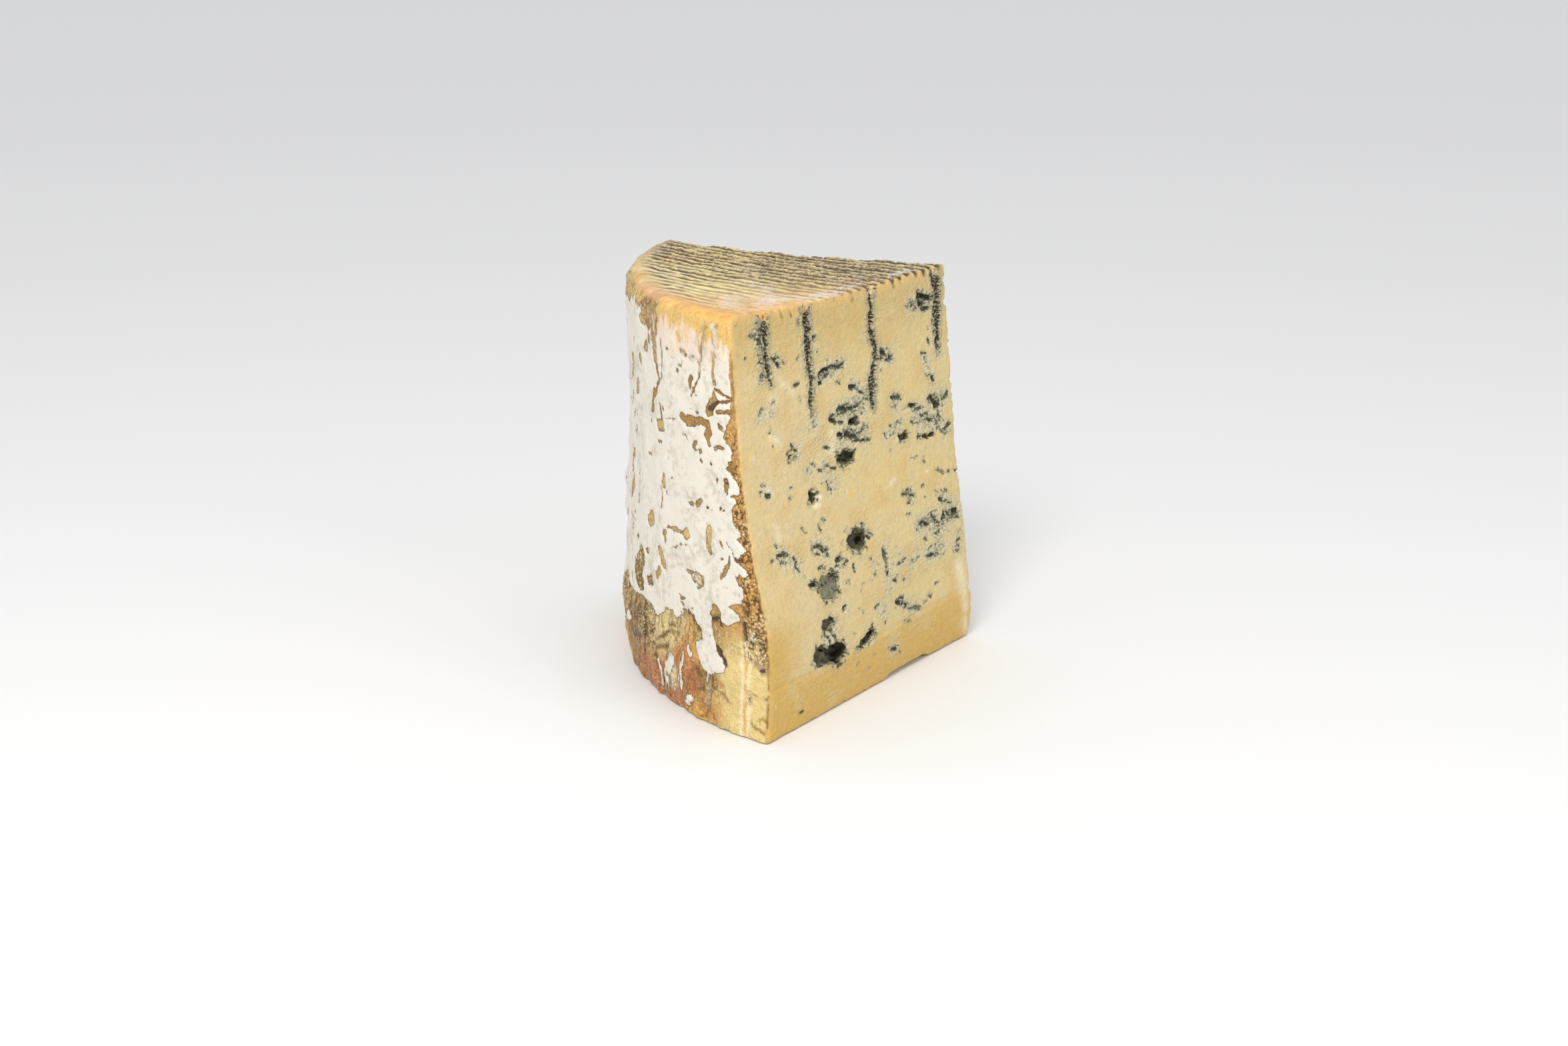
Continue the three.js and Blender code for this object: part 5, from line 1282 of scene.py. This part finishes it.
def with_needles(n, colour):
    """Needle channels: black, mould colour and painted shade, with a braid of pale rungs down the middle."""
    n.keep(twist=n.math("SINE", n.total(height=3.9, middle=9, fine=7, needle=1.6)))
    rungs = n.mix(n.where(0, .6, twist=1, tiny=1.5), rgba("black mould and shade"), rgba("rung"))
    braid = n.mix(n.where(.2, .7, needle=1, fine=1.6), rgba("black mould and shade"), rungs)
    inside = n.where(-.25, .25, needle=1, lying=2.4, fine=1.2, tiny=1)
    return n.mix(n.times(inside, .93), colour, braid)


def bump_height(n):
    """The height of the grain that is too small for the mesh."""
    n.keep(mouldy=n.math("MAXIMUM", "halo", n.where(-.5, .5, needle=1)), smeared=n.where(.05, .4, slow=1))
    n.keep(
        bumpy=n.times("fine", n.total(.08, grain=1.1)),
        smears=n.times("lying", n.total(.06, mouldy=1.2, smeared=.3)),
        lumps=n.times("gap", n.total(mouldy=-.9, crust=-.7)),
        combs=n.times(n.total(combed=1, furrow=-.5), "comb"),
        folds=n.times(n.math("MINIMUM", "drip", .12), "drips"),
        braided=n.times("twist", n.where(.1, .7, needle=1)))
    height = n.total(tiny=.05, middle=.45, bumpy=1, smears=1, lumps=1, combs=.6, folds=5, braided=.35)
    return n.times(height, n.total(1, cover=-.75))


def cheese_material(fields):
    material = bpy.data.materials.new("cheese")
    material.use_nodes = True
    n = Nodes(material.node_tree)
    n.keep(**{name: n.field(name) for name in fields})
    keep_noises(n)
    colour = with_needles(n, with_mould(n, with_bloom(n, ground_colour(n))))
    bump = n.add("ShaderNodeBump", Height=bump_height(n), Strength=0.85, Distance=0.0014)
    rough = n.total(.46, tiny=.3, cover=.25, glint=-.25, wet=-.12)
    shader = n.add("ShaderNodeBsdfPrincipled", Base_Color=colour, Roughness=rough, Normal=bump.outputs[0],
                   Subsurface_Weight=0.12, Subsurface_Radius=(1.0, 0.7, 0.35), Subsurface_Scale=0.002,
                   Specular_IOR_Level=0.35)
    n.add("ShaderNodeOutputMaterial", Surface=shader.outputs[0])
    return material


def plain_material(name, colour, roughness):
    material = bpy.data.materials.new(name)
    material.use_nodes = True
    shader = material.node_tree.nodes["Principled BSDF"]
    shader.inputs["Base Color"].default_value = (*colour, 1)
    shader.inputs["Roughness"].default_value = roughness
    return material


# ---- Pieces ----
def add_object(name, data):
    item = bpy.data.objects.new(name, data)
    bpy.context.scene.collection.objects.link(item)
    return item


def placed(points):
    """Points of the wheel's frame, in metres in the row's frame, kept inside the CAD part's box."""
    moved = (points + (*WHEEL_AXIS, 0)) / 1000
    return np.clip(moved, np.array(cad_box[0]), np.array(cad_box[1]))


def add_cheese():
    mesh = thinned(mesh_from("raw", *keep_largest(*cheese_surface())), TRIANGLES)
    mesh.name = "cheese"
    flat = np.empty(3 * len(mesh.vertices), np.float32)
    mesh.vertices.foreach_get("co", flat)
    points = flat.reshape(-1, 3).astype(float)
    colour, fields = painted(points)
    for name, values in fields.items():
        mesh.attributes.new(name, "FLOAT", "POINT").data.foreach_set("value", np.asarray(values, np.float32))
    rgb = np.concatenate([np.clip(colour, 0, 1), np.ones((len(points), 1))], 1).astype(np.float32)
    mesh.attributes.new("ground", "FLOAT_COLOR", "POINT").data.foreach_set("color", rgb.ravel())
    mesh.vertices.foreach_set("co", placed(points).astype(np.float32).ravel())
    mesh.polygons.foreach_set("use_smooth", np.ones(len(mesh.polygons), bool))
    mesh.update()
    mesh.materials.append(cheese_material(fields))
    cheese = add_object("cheese", mesh)
    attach(cheese, "root")
    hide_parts("cheese_wedge")


# ---- Camera, light and floor, in metres ----
CAMERA_PLACE = Vector((-0.6135, -0.4729, 0.3024))
CAMERA_AZIMUTH = math.radians(53.8)
CAMERA_DOWN = math.radians(18)
LENS = 50
SENSOR = 36
TARGET = Vector((0, 0, 0.07))
FLOOR_REACH = 8.0
FLOOR_GAP = 0.0002
FLOOR_COLOUR = (0.86, 0.855, 0.84)
SKY_COLOUR = (0.96, 0.97, 1.0)
SKY_STRENGTH = 0.8


def add_camera():
    data = bpy.data.cameras.new("camera")
    data.lens, data.sensor_width = LENS, SENSOR
    camera = add_object("camera", data)
    camera.location = CAMERA_PLACE
    ahead = Vector((math.sin(CAMERA_AZIMUTH), math.cos(CAMERA_AZIMUTH), 0))
    look = ahead * math.cos(CAMERA_DOWN) - Vector((0, 0, math.sin(CAMERA_DOWN)))
    camera.rotation_euler = look.to_track_quat("-Z", "Y").to_euler()
    bpy.context.scene.camera = camera


def add_light(name, offset, size, power, colour=(1, 1, 1)):
    """An area light that faces the cheese."""
    data = bpy.data.lights.new(name, "AREA")
    data.shape, data.size, data.energy, data.color = "DISK", size, power, colour
    light = add_object(name, data)
    light.location = TARGET + Vector(offset)
    light.rotation_euler = (TARGET - light.location).to_track_quat("-Z", "Y").to_euler()


def add_stage():
    mesh = bpy.data.meshes.new("floor")
    corners = [(FLOOR_REACH * x, FLOOR_REACH * y, 0) for x, y in ((-1, -1), (1, -1), (1, 1), (-1, 1))]
    mesh.from_pydata(corners, [], [(0, 1, 2, 3)])
    mesh.materials.append(plain_material("floor", FLOOR_COLOUR, 0.7))
    floor = add_object("floor", mesh)
    floor.location.z = -FLOOR_GAP
    world = bpy.data.worlds.new("world")
    world.use_nodes = True
    background = world.node_tree.nodes["Background"]
    background.inputs["Color"].default_value = (*SKY_COLOUR, 1)
    background.inputs["Strength"].default_value = SKY_STRENGTH
    bpy.context.scene.world = world
    add_light("key", (-0.80, -0.34, 0.80), 0.42, 7.0, (1, 0.985, 0.96))
    add_light("side", (-0.10, -1.00, 0.62), 0.6, 1.45)


bpy.context.scene.view_settings.view_transform = "Standard"
add_cheese()
add_camera()
add_stage()
